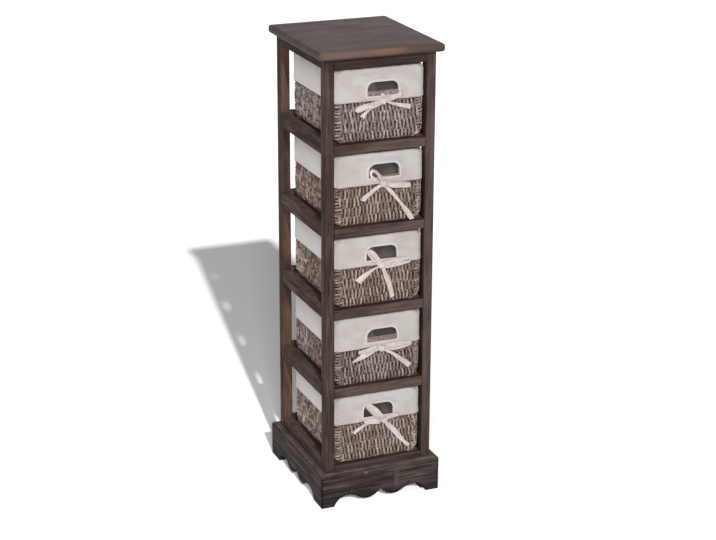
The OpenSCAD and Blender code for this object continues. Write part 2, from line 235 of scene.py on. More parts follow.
def setLight(plan):
    scene.view_settings.view_transform = "Standard"
    scene.world = bpy.data.worlds.new("studio")
    sky = Finish("studio", scene.world)
    white = (1, 1, 1, 1)
    light = sky.add("ShaderNodeBackground", {}, (white, plan["skyPower"]))
    backdrop = sky.add("ShaderNodeBackground", {}, (white, 1.0))
    sky.end(sky.add("ShaderNodeMixShader", {}, (sky.seenRays(), light, backdrop)))

    turn, height = math.radians(plan["sunTurn"]), math.radians(plan["sunHeight"])
    toward = Vector((math.sin(turn) * math.cos(height), -math.cos(turn) * math.cos(height), math.sin(height)))
    sun = addLight("key light", "SUN", plan["sunPower"], toward)
    sun.data.angle = math.radians(plan["sunSpread"])
    for k, box in enumerate(plan["boxes"], 1):
        softBox(f"soft box {k}", *box)
    fill = softBox("fill light", *plan["fill"])

    reach = plan["floorReach"]
    mesh = bpy.data.meshes.new("floor")
    corners = [(-reach, -reach, 0), (reach, -reach, 0), (reach, reach, 0), (-reach, reach, 0)]
    mesh.from_pydata(corners, [], [(0, 1, 2, 3)])
    floor = bpy.data.objects.new("floor", mesh)
    scene.collection.objects.link(floor)
    finish = Finish("pale floor")
    # shown brighter than it lights the object, so that it is white and keeps its shadow
    far = finish.add("ShaderNodeVectorMath", {"operation": "LENGTH"}, (finish.place(),), out=1)
    gain = finish.fit(far, *plan["floorFar"], *plan["floorGain"])
    tone = (finish.seenRays() * (gain - 1) + 1) * plan["floorTone"]
    finish.end(finish.add("ShaderNodeBsdfDiffuse", {}, {"Color": finish.joined(tone, tone, tone)}))
    mesh.materials.append(finish.holder)
    unlit = bpy.data.collections.new("not lit by the fill light")
    unlit.objects.link(floor)
    fill.light_linking.receiver_collection = unlit
    unlit.collection_objects[0].light_linking.link_state = "EXCLUDE"


setLight(lightPlan)
print("camera and light set")


# wood

woodPlan = {
    # of each kind: the stain's tones and the hues that tint patches of it, how much paler with painted
    # light the faces that look forward are and how much darker with painted shade those that look
    # sideways, how far an edge looks rounded, in metres, the heights between which it darkens with
    # painted shade and by how much, and how pale its ledges are with dust and painted light, least and most
    "rack": {
        "dark": (30, 23, 21), "middle": (60, 48, 44), "light": (102, 86, 79), "red": (96, 67, 55),
        "worn": (126, 104, 94), "hues": [(84, 66, 66), (62, 54, 44)],
        "ahead": 0.14, "aside": 0.12, "round": 0.0045, "shade": (0.925, 0.96, 0, 0.4), "ledge": (0.15, 0.5),
    },
    "plinth": {
        "dark": (22, 19, 18), "middle": (52, 45, 43), "light": (92, 82, 77), "red": (76, 58, 52),
        "worn": (122, 108, 102), "hues": [(72, 59, 60), (58, 53, 47)],
        "ahead": 0.06, "aside": 0.0, "round": 0.008, "shade": (0.036, 0.0, 0, 0.55), "ledge": (0.3, 0.75),
    },
    "top": {
        "dark": (64, 54, 52), "middle": (90, 78, 75), "light": (112, 100, 97), "red": (110, 86, 75),
        "worn": (138, 110, 92), "hues": [(100, 82, 84), (92, 80, 70)],
        "ahead": 0, "aside": 0.75, "round": 0.0085, "shade": None, "ledge": None,
    },
    # colours of single parts, each with its least share of the faces that look forward
    "innerFace": ((116, 78, 58), 0.0), "rightPost": ((98, 84, 81), 0.25), "rail": ((100, 84, 77), 0.05),
    # the first colour on the next line is painted shade, for the front rails under the top and under the
    # lowest basket
    "paintedShade": ((46, 39, 36), 0.75), "topFront": ((104, 82, 70), 0.6),
    # layers of the grain: how fine along and across the fibres, shift, detail and roughness
    "band": (5, 38, (0, 0, 0), 4, 0.6), "streak": (9, 125, (3, 1, 7), 4, 0.6),
    "brush": (14, 430, (1, 5, 2), 3, 0.6), "patch": (14, 26, (4, 9, 2), 3, 0.6),
    "blush": (6, 24, (8, 2, 5), 3, 0.6), "smear": (7, 30, (2, 2, 1), 2, 0.5),
    "nosing": (0.011, 0.001),  # how far behind the top's front edge its nosing starts and ends
    # marks on the faces that look forward: x, z, half sizes in metres, colour and share
    "plinthMarks": [(-0.034, 0.067, 0.006, 0.0038, (120, 107, 100), 0.6),
                    (0.037, 0.046, 0.0075, 0.024, (98, 88, 83), 0.5),
                    (0.029, 0.044, 0.003, 0.022, (24, 21, 20), 0.25)],
    "topMarks": [(0.004, 0.974, 0.05, 0.012, (130, 97, 78), 0.65),
                 (-0.098, 0.975, 0.055, 0.013, (118, 98, 92), 0.6),
                 (0.095, 0.971, 0.055, 0.016, (82, 68, 58), 0.8),
                 # the last mark is painted shade on the lower half of the top's front edge
                 (0, 0.9595, 0.9, 0.0075, (42, 33, 29), 0.85)],
}


def woodFinish(name, grain, kind, wearAndHighlightShare=0.5, redShare=0.4, gloss=0.05, calm=0.1, front=None, marks=()):
    # stained and brushed softwood; grain is the axis that its fibres follow, calm takes its streaks
    # back, and front is a colour and its least share for the faces that look forward
    plan, f = woodPlan[kind], Finish(name)
    dark, middle, light, red, worn = (plan[key] for key in ("dark", "middle", "light", "red", "worn"))
    place, flat = f.place(), f.facing()
    (x, y, z), (flatX, flatY, flatZ) = f.parts(place), f.parts(flat)
    sideways, forward = f.fit(flatX.maths("ABSOLUTE"), 0.5, 0.9), f.fit(flatY, -0.3, -0.9)
    if kind == "top":
        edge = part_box("top")[0][1]
        start, end = (edge + inset for inset in woodPlan["nosing"])
        forward = forward.maths("MAXIMUM", f.fit(y, start, end))

    def layer(key):
        along, across, shift, detail, rough = woodPlan[key]
        stretch = [along if axis == grain else across for axis in "xyz"]
        return f.noise(f.stretched(place, stretch, shift), 1, detail, rough)

    streak, brush = layer("streak"), layer("brush")
    value = f.fit(layer("band") * 0.5 + streak * 0.5, 0.36 - calm * 0.12, 0.64 + calm * 0.12)
    tone = f.ramp(value, (0.0, dark), (0.5, middle), (1.0, light))
    tone = f.blend(tone, red, layer("blush"), 0.5, 0.7, 0, redShare)
    for k, hue in enumerate(plan["hues"]):
        tint = f.noise(f.stretched(place, (1, 1, 1), (2 + 5 * k, 6 - k, 3 * k)), 11, 3, 0.55)
        tone = f.blend(tone, hue, tint, 0.5, 0.64, 0, 0.55)
    tone = f.blend(tone, dark, layer("patch"), 0.46, 0.62, 0, 0.45)
    # painted shade: the faces that look sideways are darker
    tone = f.mix(sideways * plan["aside"], tone, woodPlan["rack"]["dark"])
    if front:
        colour, least = front
        tone = f.mix(forward * f.fit(layer("smear"), 0.42, 0.62, least, 0.75), tone, colour)
    # painted light: the faces that look forward are paler
    tone = f.mix(forward * plan["ahead"], tone, worn)
    # painted shade: darker under the top, and towards the plinth's foot
    if plan["shade"]:
        tone = f.blend(tone, dark, z, *plan["shade"])
    for cx, cz, halfX, halfZ, colour, share in marks:
        far = ((x - cx) / halfX) ** 2 + ((z - cz) / halfZ) ** 2
        tone = f.mix(f.fit(far, 1.5, 0.1, 0, share) * forward, tone, colour)
    tone = f.blend(tone, dark, brush, 0.45, 0.34, 0, 0.7 - calm * 0.35)
    tone = f.blend(tone, light, brush, 0.54, 0.66, 0, 0.4 - calm * 0.15)

    # edges look rounded; the upper ones are paler with wear and a painted highlight, the others darker with
    # painted shade
    around = f.add("ShaderNodeBevel", {"samples": 6}, {"Radius": plan["round"]})
    turn = f.add("ShaderNodeVectorMath", {"operation": "DOT_PRODUCT"}, (around, flat), out=1)
    edge, upper = f.fit(turn, 0.995, 0.85), f.fit(f.parts(around)[2], 0.05, 0.4)
    wearAndHighlight = edge * upper * f.fit(f.noise(place, 45, 3, 0.6), 0.35, 0.65, 0.35 * wearAndHighlightShare, wearAndHighlightShare)
    # the faces that look up are paler, with dust and with painted light
    if kind == "plinth" or grain == "y":
        dustAndHighlight = f.fit(f.noise(place, 30, 3, 0.6), 0.35, 0.65, *plan["ledge"])
        wearAndHighlight = wearAndHighlight.maths("MAXIMUM", f.fit(flatZ, 0.5, 0.9) * dustAndHighlight)
    tone = f.mix(edge * (1 - upper) * 0.6, tone, dark)
    tone = f.mix(wearAndHighlight, tone, worn)
    return f.surface(streak * 0.5 + brush * 0.5, (0.75, 0.55), colour=tone, gloss=gloss,
                     normal=f.bump(streak * 0.6 + brush * 0.4, 0.0012, 0.6, around))


hiddenPlan = {
    # grain's stretch, detail and roughness, its two tones, gloss, and depth of its relief in metres
    "panel plywood": ((60, 4, 60), 5, 0.62, (72, 56, 48), (112, 90, 76), (0.7, 0.55), 0.3, 0.0006),
    "dowel wood": ((260, 260, 60), 3, 0.6, (176, 140, 100), (214, 182, 140), (0.65, 0.5), 0.35, 0.0003),
}


def plainWood(name):
    # the shelf panels' plywood and the dowels' beech
    stretch, detail, fine, low, high, rough, gloss, depth = hiddenPlan[name]
    f = Finish(name)
    grain = f.noise(f.stretched(f.place(), stretch), 1, detail, fine)
    return f.surface(grain, rough, colour=f.ramp(grain, (0.3, low), (0.7, high)), gloss=gloss,
                     normal=f.bump(grain, depth, 0.4))


def wireFinish():
    f = Finish("drawn wire")
    grit = f.noise(f.place(), 420, 3, 0.6)
    tone = f.blend((118, 118, 120), (84, 78, 74), grit, 0.4, 0.65)
    return f.surface(grit, (0.3, 0.5), colour=tone, metallic=1.0, normal=f.bump(grit, 0.0002, 0.3))


def dressFrame():
    # each node takes the last finish whose name its own begins with
    upright = woodFinish("stained wood upright", "z", "rack")
    inner = woodFinish("stained wood back post", "z", "rack", front=woodPlan["innerFace"])
    right = woodFinish("stained wood right post", "z", "rack", front=woodPlan["rightPost"])
    across = woodFinish("stained wood across", "x", "rack", front=woodPlan["rail"])
    # painted shade for the front rails under the top and under the lowest basket
    paintedShade = woodFinish("stained wood with painted shade", "x", "rack", front=woodPlan["paintedShade"])
    deep = woodFinish("stained wood front to back", "y", "rack")
    plinthAcross = woodFinish("plinth wood across", "x", "plinth", 0.8, 0.3)
    plinthFront = woodFinish("plinth wood front", "x", "plinth", 1.0, 0.3, calm=-0.2,
                             marks=woodPlan["plinthMarks"])
    plinthDeep = woodFinish("plinth wood front to back", "y", "plinth", 0.8, 0.3)
    top = woodFinish("stained wood top", "x", "top", 0.7, 0.6, 0.22, 1.0, woodPlan["topFront"],
                     woodPlan["topMarks"])
    finishes = {
        "post_front": upright, "post_front_right": right, "post_back": inner,
        "rail_front": across, "rail_front_1": paintedShade, "rail_front_6": paintedShade, "rail_back": across,
        "rail_left": deep, "rail_right": deep, "plinth_front": plinthFront, "plinth_back": plinthAcross,
        "plinth_left": plinthDeep, "plinth_right": plinthDeep, "top": top,
        "shelf_panel": plainWood("panel plywood"), "dowels": plainWood("dowel wood"),
        "basket_wire": wireFinish(),
    }
    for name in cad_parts:
        for start, finish in finishes.items():
            if name.startswith(start):
                slots = bpy.data.objects[name].data.materials
                slots.clear()
                slots.append(finish)


dressFrame()
print("wood, panels, dowels and wire finished")


# mesh tools; lengths are millimetres until a piece is made

mm = 0.001  # metres
up, toFront = (0, 0, 1), (0, -1, 0)


def boxOf(node):
    # half sizes, middle, and lowest and highest corners of a node's box
    low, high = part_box(node)
    half = [(b - a) * 500 for a, b in zip(low, high)]
    middle = [(a + b) * 500 for a, b in zip(low, high)]
    return half, middle, [a * 1000 for a in low], [b * 1000 for b in high]


def clamp(value, low=0, high=1):
    # value, kept within low and high
    return min(high, max(low, value))


def roundOff(over, r):
    # how far an edge rounded by r has drawn in, over past the start of its curve
    return r - math.sqrt(r * r - clamp(over, 0, r) ** 2)


def track(x, y, z):
    # points from their coordinates, of which some may be single numbers
    return np.stack(np.broadcast_arrays(x, y, z), axis=1)


def headings(path, closed=False):
    ahead = np.roll(path, -1, 0) - np.roll(path, 1, 0) if closed else np.gradient(path, axis=0)
    return ahead / np.linalg.norm(ahead, axis=1)[:, None]


def runOf(path):
    # how far along a path each of its points lies
    return np.concatenate([[0], np.cumsum(np.linalg.norm(np.diff(path, axis=0), axis=1))])


def pointsAt(at, run, path):
    # the points as far along a path as at says; run is the path's own
    return np.stack([np.interp(at, run, path[:, k]) for k in range(path.shape[1])], axis=1)


class Shell:
    # gathers swept strips and their values for the material
    patternShift = 37  # how far a strip's tint moves the pattern along it

    def __init__(self):
        self.points, self.faces, self.values, self.depths, self.count = [], [], [], [], 0

    def skin(self, n, sides, value, closed=False):
        # faces round n rings of points, and their corners' values; value takes a ring and a side, or
        # None for the flat ends
        for i in range(n if closed else n - 1):
            here, there = self.count + i * sides, self.count + (i + 1) % n * sides
            for j in range(sides):
                k = (j + 1) % sides
                self.faces.append([here + j, here + k, there + k, there + j])
                self.values += [value(i, j), value(i, j + 1), value(i + 1, j + 1), value(i + 1, j)]
        if not closed:
            for i, turn in ((0, -1), (n - 1, 1)):
                self.faces.append([self.count + i * sides + j for j in range(sides)][::turn])
                self.values += [value(i, None)] * sides
        self.count += n * sides

    def sweep(self, path, wide, deep, halfWide, halfDeep, sides, tint, depth=0.0, closed=False):
        # a tube of oval section along path; wide and deep are its two cross directions
        path, n = np.asarray(path, float), len(path)
        wide, deep = (np.broadcast_to(np.asarray(v, float), path.shape)[:, None, :] for v in (wide, deep))
        halfWide, halfDeep = (np.broadcast_to(v, (n,))[:, None, None] for v in (halfWide, halfDeep))
        angle = (np.arange(sides) * 2 * math.pi / sides + math.pi / 2)[None, :, None]
        rings = path[:, None, :] + wide * halfWide * np.cos(angle) + deep * halfDeep * np.sin(angle)
        self.points.append(rings.reshape(-1, 3))
        run = runOf(np.vstack([path, path[:1]]) if closed else path) + tint * self.patternShift
        self.skin(n, sides, lambda i, j: (run[i], j / sides if j else 0, tint), closed)
        depth = np.broadcast_to(depth, (n,))
        for i in range(n if closed else n - 1):
            k = (i + 1) % n
            self.depths += [depth[i], depth[i], depth[k], depth[k]] * sides
        if not closed:
            self.depths += [depth[0]] * sides + [depth[-1]] * sides

    def make(self, name, origin, material, valueName="strand"):
        mesh = bpy.data.meshes.new(name)
        points = (np.concatenate(self.points) + np.asarray(origin)) * mm
        mesh.from_pydata(points.tolist(), [], self.faces)
        values = np.asarray(self.values, np.float32).ravel()
        mesh.attributes.new(valueName, "FLOAT_VECTOR", "CORNER").data.foreach_set("vector", values)
        if valueName == "strand":
            depths = np.asarray(self.depths, np.float32)
            mesh.attributes.new("depth", "FLOAT", "CORNER").data.foreach_set("value", depths)
        mesh.polygons.foreach_set("use_smooth", [True] * len(mesh.polygons))
        mesh.materials.append(material)
        mesh.update()
        piece = bpy.data.objects.new(name, mesh)
        scene.collection.objects.link(piece)
        return piece


def sectionPoint(halfX, halfY, r, segment, t, out=0.0):
    # a point on a rounded rectangle and its outward direction; segments 0, 2, 4 and 6 are the front,
    # right, back and left sides, and the odd ones the corners after them
    cx, cy = halfX - r, halfY - r
    quarter = segment // 2
    spin = quarter * math.pi / 2 - math.pi / 2
    if segment % 2:
        angle = spin + t * math.pi / 2
        sx, sy = ((1, -1), (1, 1), (-1, 1), (-1, -1))[quarter]
        n = (math.cos(angle), math.sin(angle))
        return (sx * cx + (r + out) * n[0], sy * cy + (r + out) * n[1]), n
    n = (round(math.cos(spin)), round(math.sin(spin)))
    half, far = (cx, halfY) if quarter % 2 == 0 else (cy, halfX)
    a = (2 * t - 1) * half
    return (-n[1] * a + n[0] * (far + out), n[0] * a + n[1] * (far + out)), n


# baskets

basketPlan = {
    "count": 5, "seed": 40,
    # the middle of the weave: how far it lies inside the solid's faces, how much wider it is to each
    # side, corner radius, radii of the lower edges of the front and of the sides, its height under the
    # basket, and how far the cords run on there
    "skin": 3, "widen": 0.8, "round": 8, "curls": (6, 17), "foot": 3.2, "footEnd": 4,
    # upright cords: pitch, height of a row, half sizes, how far and how squarely they weave, how
    # much less inward, and the lengths of their steps over and under the skirt's hem
    "pitch": 3.95, "row": 21.0, "halfWide": 2.3, "halfThick": 1.6, "wave": 1.6, "square": 2.2,
    "inward": 0.8, "steps": (7.0, 3.3), "underFoot": 0.2,
    # how unevenly they lie: degrees of lean and its spread, place, row, size, and the rows' drift
    "lean": 2.5, "leanSpread": 8, "stray": 0.35, "draw": 0.09, "sizes": (0.88, 1.12), "drift": (0.05, 23),
    "bulge": 1.2, "bulgeEnd": 2,  # of the wall under the hem, and how far it passes its ends
    # thin cords between the rows: half size, stray, points to a side and a corner, and how far over the
    # hem they go on
    "rowCord": 1.1, "rowStray": 0.6, "rowSteps": (24, 4), "rowsOver": 3,
    # corners: the strokes' pitch, half sizes, tilt and reach past the corner, heights between which
    # they lie and over the hem they are fine, and the upright cord that they wrap
    "cornerPitch": 6.4, "cornerHalf": (2.5, 1.7), "cornerTilt": 2.6, "cornerTilts": (0.6, 1.3),
    "cornerReach": (0.3, 0.6), "cornerFrom": 4.0, "cornerStop": 3, "cornerFine": 6, "cornerLast": 9,
    "cornerPull": (9, 0.45), "cornerCoarse": 1.6, "cornerSizes": (0.85, 1.1), "cornerSteps": (0.85, 1.15),
    "cornerPost": (3.2, 1.6), "postFrom": 6, "postIn": 0.8,
    # hand hole; how far the weave's hole passes the cloth's at the sides and the top, and the bag's
    # at the sides, below and at the top
    "slotWidth": 69, "slotHeight": 30, "slotRound": 16, "slotSoft": 2.5, "slotClear": 0.8,
    "weaveSlot": (4, 1), "bagSlot": (5, 6, 2), "slotCord": (1.5, 2.2),
    "lipPitch": 2.9, "lipCord": (1.55, 1.6), "lipOver": 2, "lipOut": 1.1,  # cords along the weave's lip
    # of each basket from the bottom one up: how far the weave's hole passes the cloth's below, and
    # heights over its own base
    "weaveSlotDeep": (3, -9.5, 3, -2.5, -8.5),
    "hem": (89.2, 80.2, 86.2, 84.2, 83.2),
    "slotMiddle": (1.5, 9, 6.5, 10.5, 6.5),
    "slotBottom": (97.7, 91.2, 97.2, 97.7, 92.7),
    # rim: its height, the weave's edge under it, and its cords' depth, half height and tint
    "rim": 150.2, "underRim": 8.5, "rimCords": [(0.6, 1.9, 0.5), (4.6, 1.7, 0.3)], "rimThick": 2.4,
    "rimSteps": (15, 5),
    # it sinks at the corners: the weave's and the cloth's share, the reach, and the corner's inset
    "cornerSink": (4.0, 8.5), "sinkReach": 10, "sinkInset": 2,
    # floor: the cords' pitch, half sizes, height and waves, and the bars that they cross
    "floorPitch": 5.2, "floorCord": (2.6, 1.2), "floorUp": 2.6, "floorWave": (0.55, 7.5),
    "barPitch": 23.5, "barCord": (1.2, 0.9), "barFrom": 11,
}


def cornerNearness(x, y, halfX, halfY):
    inset = basketPlan["sinkInset"]
    away = math.hypot(abs(x) - (halfX - inset), abs(y) - (halfY - inset))
    return math.exp(-(away / basketPlan["sinkReach"]) ** 2)


def slotShape(spread):
    # half width, upper radius, lowest and highest z of a hand hole; spread is how much wider, deeper
    # and higher it is than the cloth's
    side, deep, high = spread
    return (basketPlan["slotWidth"] / 2 + side, basketPlan["slotRound"] + min(side, high), -deep,
            basketPlan["slotHeight"] + high)


def slotEdge(x, spread):
    # lowest and highest z of a hand hole at x from its middle
    half, r, low, top = slotShape(spread)
    return (low, top - roundOff(abs(x) - half + r, r)) if abs(x) < half else None


def slotOutline(spread, steps):
    # points round a hand hole, from its lower left corner, anticlockwise as seen from the front
    half, r, low, top = slotShape(spread)
    soft, arc = basketPlan["slotSoft"], 8
    points = []
    for cx, cz, bend, start in ((-half + soft, low + soft, soft, 180), (half - soft, low + soft, soft, 270),
                                (half - r, top - r, r, 0), (-half + r, top - r, r, 90)):
        for k in range(arc + 1):
            a = math.radians(start + k * 90 / arc)
            points.append((cx + bend * math.cos(a), cz + bend * math.sin(a)))
    points = np.array(points + points[:1])
    run = runOf(points)
    return pointsAt(np.arange(steps) / steps * run[-1], run, points)


seagrassPlan = {
    "twist": 9.0,  # length of cord in which its plies turn once
    # patches of the blush and the moss: shift, how fine, values from and to, and share
    "patches": [((3, 8, 1), 21, 0.5, 0.68, 0.55), ((7, 2, 6), 24, 0.56, 0.7, 0.5)],
    "sides": (0.0895, 0.0915),  # metres from the middle at which the speckled sides start
    "hemShade": (0.008, 0.001, 0.35),  # metres under the hem in which painted shade darkens the cords, and how much
    # of each basket from the bottom one up: light, middle, dark, blush and moss
    "tones": [
        ((222, 203, 192), (165, 143, 132), (51, 37, 32), (182, 142, 130), (145, 135, 115)),
        ((206, 188, 180), (150, 131, 124), (48, 36, 33), (170, 136, 128), (136, 129, 115)),
        ((214, 194, 182), (156, 133, 121), (50, 36, 31), (176, 136, 124), (140, 128, 109)),
        ((216, 196, 182), (158, 135, 121), (50, 37, 32), (176, 138, 124), (144, 131, 109)),
        ((220, 204, 197), (164, 147, 141), (50, 38, 35), (182, 149, 143), (142, 135, 122)),
    ],
}


def seagrassFinish(index, hemZ):
    plan, f = seagrassPlan, Finish(f"seagrass {index}")
    light, middle, dark, *patchTones = plan["tones"][index - 1]
    run, around, tint = f.parts(f.read("strand"))
    place = f.place()
    twist = (run * (2 / plan["twist"]) + around * 2) * (2 * math.pi)
    ply = twist.maths("SINE") * 0.5 + 0.5
    slant = (around + run * (1 / plan["twist"])).maths("FRACT") * 9
    fibre = f.noise(f.joined(run * 0.12, slant, tint * 40), 1, 3, 0.65)
    tone = f.blend(middle, light, tint + f.noise(place, 28, 2, 0.5) * 0.6, 0.45, 1.15)
    for colour, (shift, fine, low, high, share) in zip(patchTones, plan["patches"]):
        patch = f.noise(f.stretched(place, (1, 1, 1), shift), fine, 2, 0.5)
        tone = f.blend(tone, colour, patch, low, high, 0, share)
    tone = f.blend(tone, dark, fibre * 0.6 + f.noise(place, 190, 3, 0.6) * 0.4, 0.34, 0.62, 0.62, 0.0)
    # painted shade: the grooves between plies and the cords that lie behind are darker
    tone = f.blend(tone, dark, ply, 0.0, 0.35, 0.55, 0.0)
    tone = f.blend(tone, dark, f.read("depth", out=2), 0.2, -0.75, 0.0, 0.9)
    # the sides are speckled, and under the skirt's hem a painted shade darkens the cords
    x, z = f.parts(place)[::2]
    sideways = f.fit(x.maths("ABSOLUTE"), *plan["sides"])
    speckle = f.noise(place, 95, 2, 0.5)
    tone = f.mix(f.fit(speckle, 0.5, 0.36, 0, 0.6) * sideways, tone, dark)
    tone = f.mix(f.fit(speckle, 0.52, 0.64, 0, 0.5) * sideways, tone, light)
    start, end, share = plan["hemShade"]
    paintedShade = f.fit(z, hemZ - start, hemZ - end, 0, share) * f.fit(z, hemZ + 0.0015, hemZ)
    return f.surface(fibre, (0.85, 0.65), colour=f.mix(paintedShade, tone, dark), gloss=0.08,
                     normal=f.bump(ply * 0.7 + fibre * 0.5, 0.0009, 0.7))


def basketForm(index):
    # a basket's measures, round its middle and over its base
    half, middle, low = boxOf(f"basket_weave_{index}")[:3]
    plan = basketPlan
    return {
        "index": index, "middle": middle[:2] + low[2:],
        "halfX": half[0] - plan["skin"] + plan["widen"], "halfY": half[1] - plan["skin"],
        "top": half[2] * 2 - plan["underRim"], "hem": plan["hem"][index - 1],
        "slotX": plan["slotMiddle"][index - 1], "slotZ": plan["slotBottom"][index - 1],
        "hole": (plan["weaveSlot"][0], plan["weaveSlotDeep"][index - 1], plan["weaveSlot"][1]),
    }


def drawIn(z):
    # how far the rounded lower edge has drawn the side walls in at height z
    bend = basketPlan["curls"][1]
    return roundOff(bend + basketPlan["skin"] - z, bend)


def swellAt(z, hem):
    # how far the wall bulges under the skirt's hem
    end = basketPlan["bulgeEnd"]
    if z >= hem + end:
        return 0
    return basketPlan["bulge"] * math.sin(math.pi * clamp((z - end) / (hem + end)))


def columnPath(form, wall, a, row, phase, lean, draw):
    # centreline of one upright cord, from its top down and in under the basket: along the wall, out
    # and up, its outward directions, and how far out it weaves
    plan, hem, high = basketPlan, form["hem"], form["top"]
    curl, far, end, square = wall["curl"], wall["far"], plan["footEnd"], plan["square"]
    base = plan["foot"]
    if curl == plan["curls"][0]:
        base += roundOff(abs(a) - (wall["half"] - plan["curls"][1]), plan["curls"][1])
    straight = high - (base + curl)
    bent = straight + curl * math.pi / 2
    total = bent + end
    coarse = max(0.0, high - hem - end)
    long, short = plan["steps"]
    points, normals, waves = [], [], []
    for v in [*np.arange(0, coarse, long), *np.arange(coarse, total, short), total]:
        turn = clamp((v - straight) / curl, 0, math.pi / 2)
        n = (math.cos(turn), -math.sin(turn))
        o, z = far - curl + curl * n[0], base + curl + curl * n[1]
        if v <= straight:
            o, z, n = far, high - v, (1, 0)
        elif v > bent:
            o, z, n = far - curl - (v - straight - curl * math.pi / 2), base, (0, -1)
        height = total - end - v
        q = height / row + draw
        wave = math.tanh(square * math.sin(math.pi * (q + phase))) / math.tanh(square)
        reach = plan["wave"] * wave * clamp((height + end) / 6) * (plan["inward"] if wave < 0 else 1)
        out = reach + swellAt(z, hem)
        side = lean * math.cos(math.pi * (q + phase)) * row / 2
        points.append((a + side, o + n[0] * out, z + n[1] * (reach + plan["underFoot"])))
        normals.append(n)
        waves.append(wave)
    return np.array(points), np.array(normals), np.array(waves)


def weaveUprights(shell, form, rng):
    plan = basketPlan
    for w, out in enumerate(((0, -1), (1, 0), (0, 1), (-1, 0))):
        far, half = (form["halfY"], form["halfX"]) if w % 2 == 0 else (form["halfX"], form["halfY"])
        wall = {"far": far, "half": half, "curl": plan["curls"][w % 2]}
        reach = half - plan["round"] + 1
        count = round(2 * reach / plan["pitch"])
        size, long = plan["drift"]
        for c in range(count + 1):
            a = -reach + c * 2 * reach / count + rng.uniform(-plan["stray"], plan["stray"])
            lean = math.tan(math.radians(plan["lean"] + rng.uniform(-1, 1) * plan["leanSpread"]))
            row = plan["row"] * (1 + size * math.sin(a / long + form["index"] * 2 + w))
            tint, draw = rng.random(), rng.uniform(-plan["draw"], plan["draw"])
            points, normals, waves = columnPath(form, wall, a, row, c % 2, lean, draw)
            thick = rng.uniform(*plan["sizes"])
            runs = [np.full(len(points), True)]
            gap = slotEdge(a - form["slotX"], form["hole"]) if w == 0 else None
            if gap:
                low, high = (form["slotZ"] + edge for edge in gap)
                runs = [points[:, 2] > high + plan["slotClear"], points[:, 2] < low - plan["slotClear"]]
            across, outward = np.array((-out[1], out[0], 0)), np.array((*out, 0))
            for run in runs:
                if sum(run) < 2:
                    continue
                p, n, wave = points[run], normals[run], waves[run]
                path = p[:, :1] * across + p[:, 1:2] * outward + p[:, 2:] * np.array(up)
                shell.sweep(path, across, n[:, :1] * outward + n[:, 1:] * np.array(up),
                            plan["halfWide"] * thick * (0.9 + 0.14 * wave),
                            plan["halfThick"] * (1 + 0.08 * wave), 6, tint, wave)


def roundBasket(halfX, halfY, steps, out=0.0):
    # x and y of points round the basket, with their segment and step; steps are for sides and corners
    for segment in range(8):
        count = steps[segment % 2]
        for k in range(count):
            yield *sectionPoint(halfX, halfY, basketPlan["round"], segment, k / count, out)[0], segment, k


def weaveRows(shell, form, rng):
    # thin cords between the rows, round the whole basket
    plan, z = basketPlan, basketPlan["row"] * 0.5
    while z < form["hem"] + plan["rowsOver"]:
        spots = roundBasket(form["halfX"] - drawIn(z), form["halfY"], plan["rowSteps"],
                            swellAt(z, form["hem"]))
        path = np.array([(x, y, z + 0.8 * math.sin(k * 1.7 + segment)) for x, y, segment, k in spots])
        shell.sweep(path, up, np.cross(headings(path, True), up), plan["rowCord"], plan["rowCord"], 5,
                    rng.random() * 0.4, -0.4, closed=True)
        z += plan["row"] / 2 + rng.uniform(-plan["rowStray"], plan["rowStray"])


def weaveCorner(shell, form, rng, corner):
    # short strokes wrapped round an upright cord
    plan, hem, halfX, halfY = basketPlan, form["hem"], form["halfX"], form["halfY"]
    top, last = form["top"] - plan["cornerSink"][0], plan["cornerLast"]
    wide, thick = plan["cornerHalf"]
    z = plan["cornerFrom"]
    while z < top - plan["cornerStop"]:
        fine = z < hem + plan["cornerFine"]
        pull = max(0, plan["cornerPull"][0] - z) * plan["cornerPull"][1]
        tilt = plan["cornerTilt"] * rng.uniform(*plan["cornerTilts"])
        before, after = rng.uniform(*plan["cornerReach"]), rng.uniform(*plan["cornerReach"])
        path, outs, waves = [], [], []
        for k in range(last + 1):
            t = -before + (1 + before + after) * k / last
            wave = 2 * min(1, 4.2 * min(k, last - k) / last) - 1
            out = plan["wave"] * wave + swellAt(z, hem)
            xy, n = sectionPoint(halfX - drawIn(z), halfY - pull, plan["round"], corner, t, out)
            path.append((*xy, z + tilt * (k / (last / 2) - 1)))
            outs.append((*n, 0))
            waves.append(wave)
        size, sides = wide * rng.uniform(*plan["cornerSizes"]), 6 if fine else 4
        shell.sweep(path, up, outs, size, thick, sides, rng.random(), waves)
        z += plan["cornerPitch"] * (1 if fine else plan["cornerCoarse"]) * rng.uniform(*plan["cornerSteps"])
    path = []
    for z in np.linspace(plan["postFrom"], top, 18):
        xy, n = sectionPoint(halfX - drawIn(z), halfY, plan["round"], corner, 0.5, -plan["postIn"])
        path.append((*xy, z))
    shell.sweep(path, (-n[1], n[0], 0), (*n, 0), *plan["cornerPost"], 6, 0.1, -0.6)


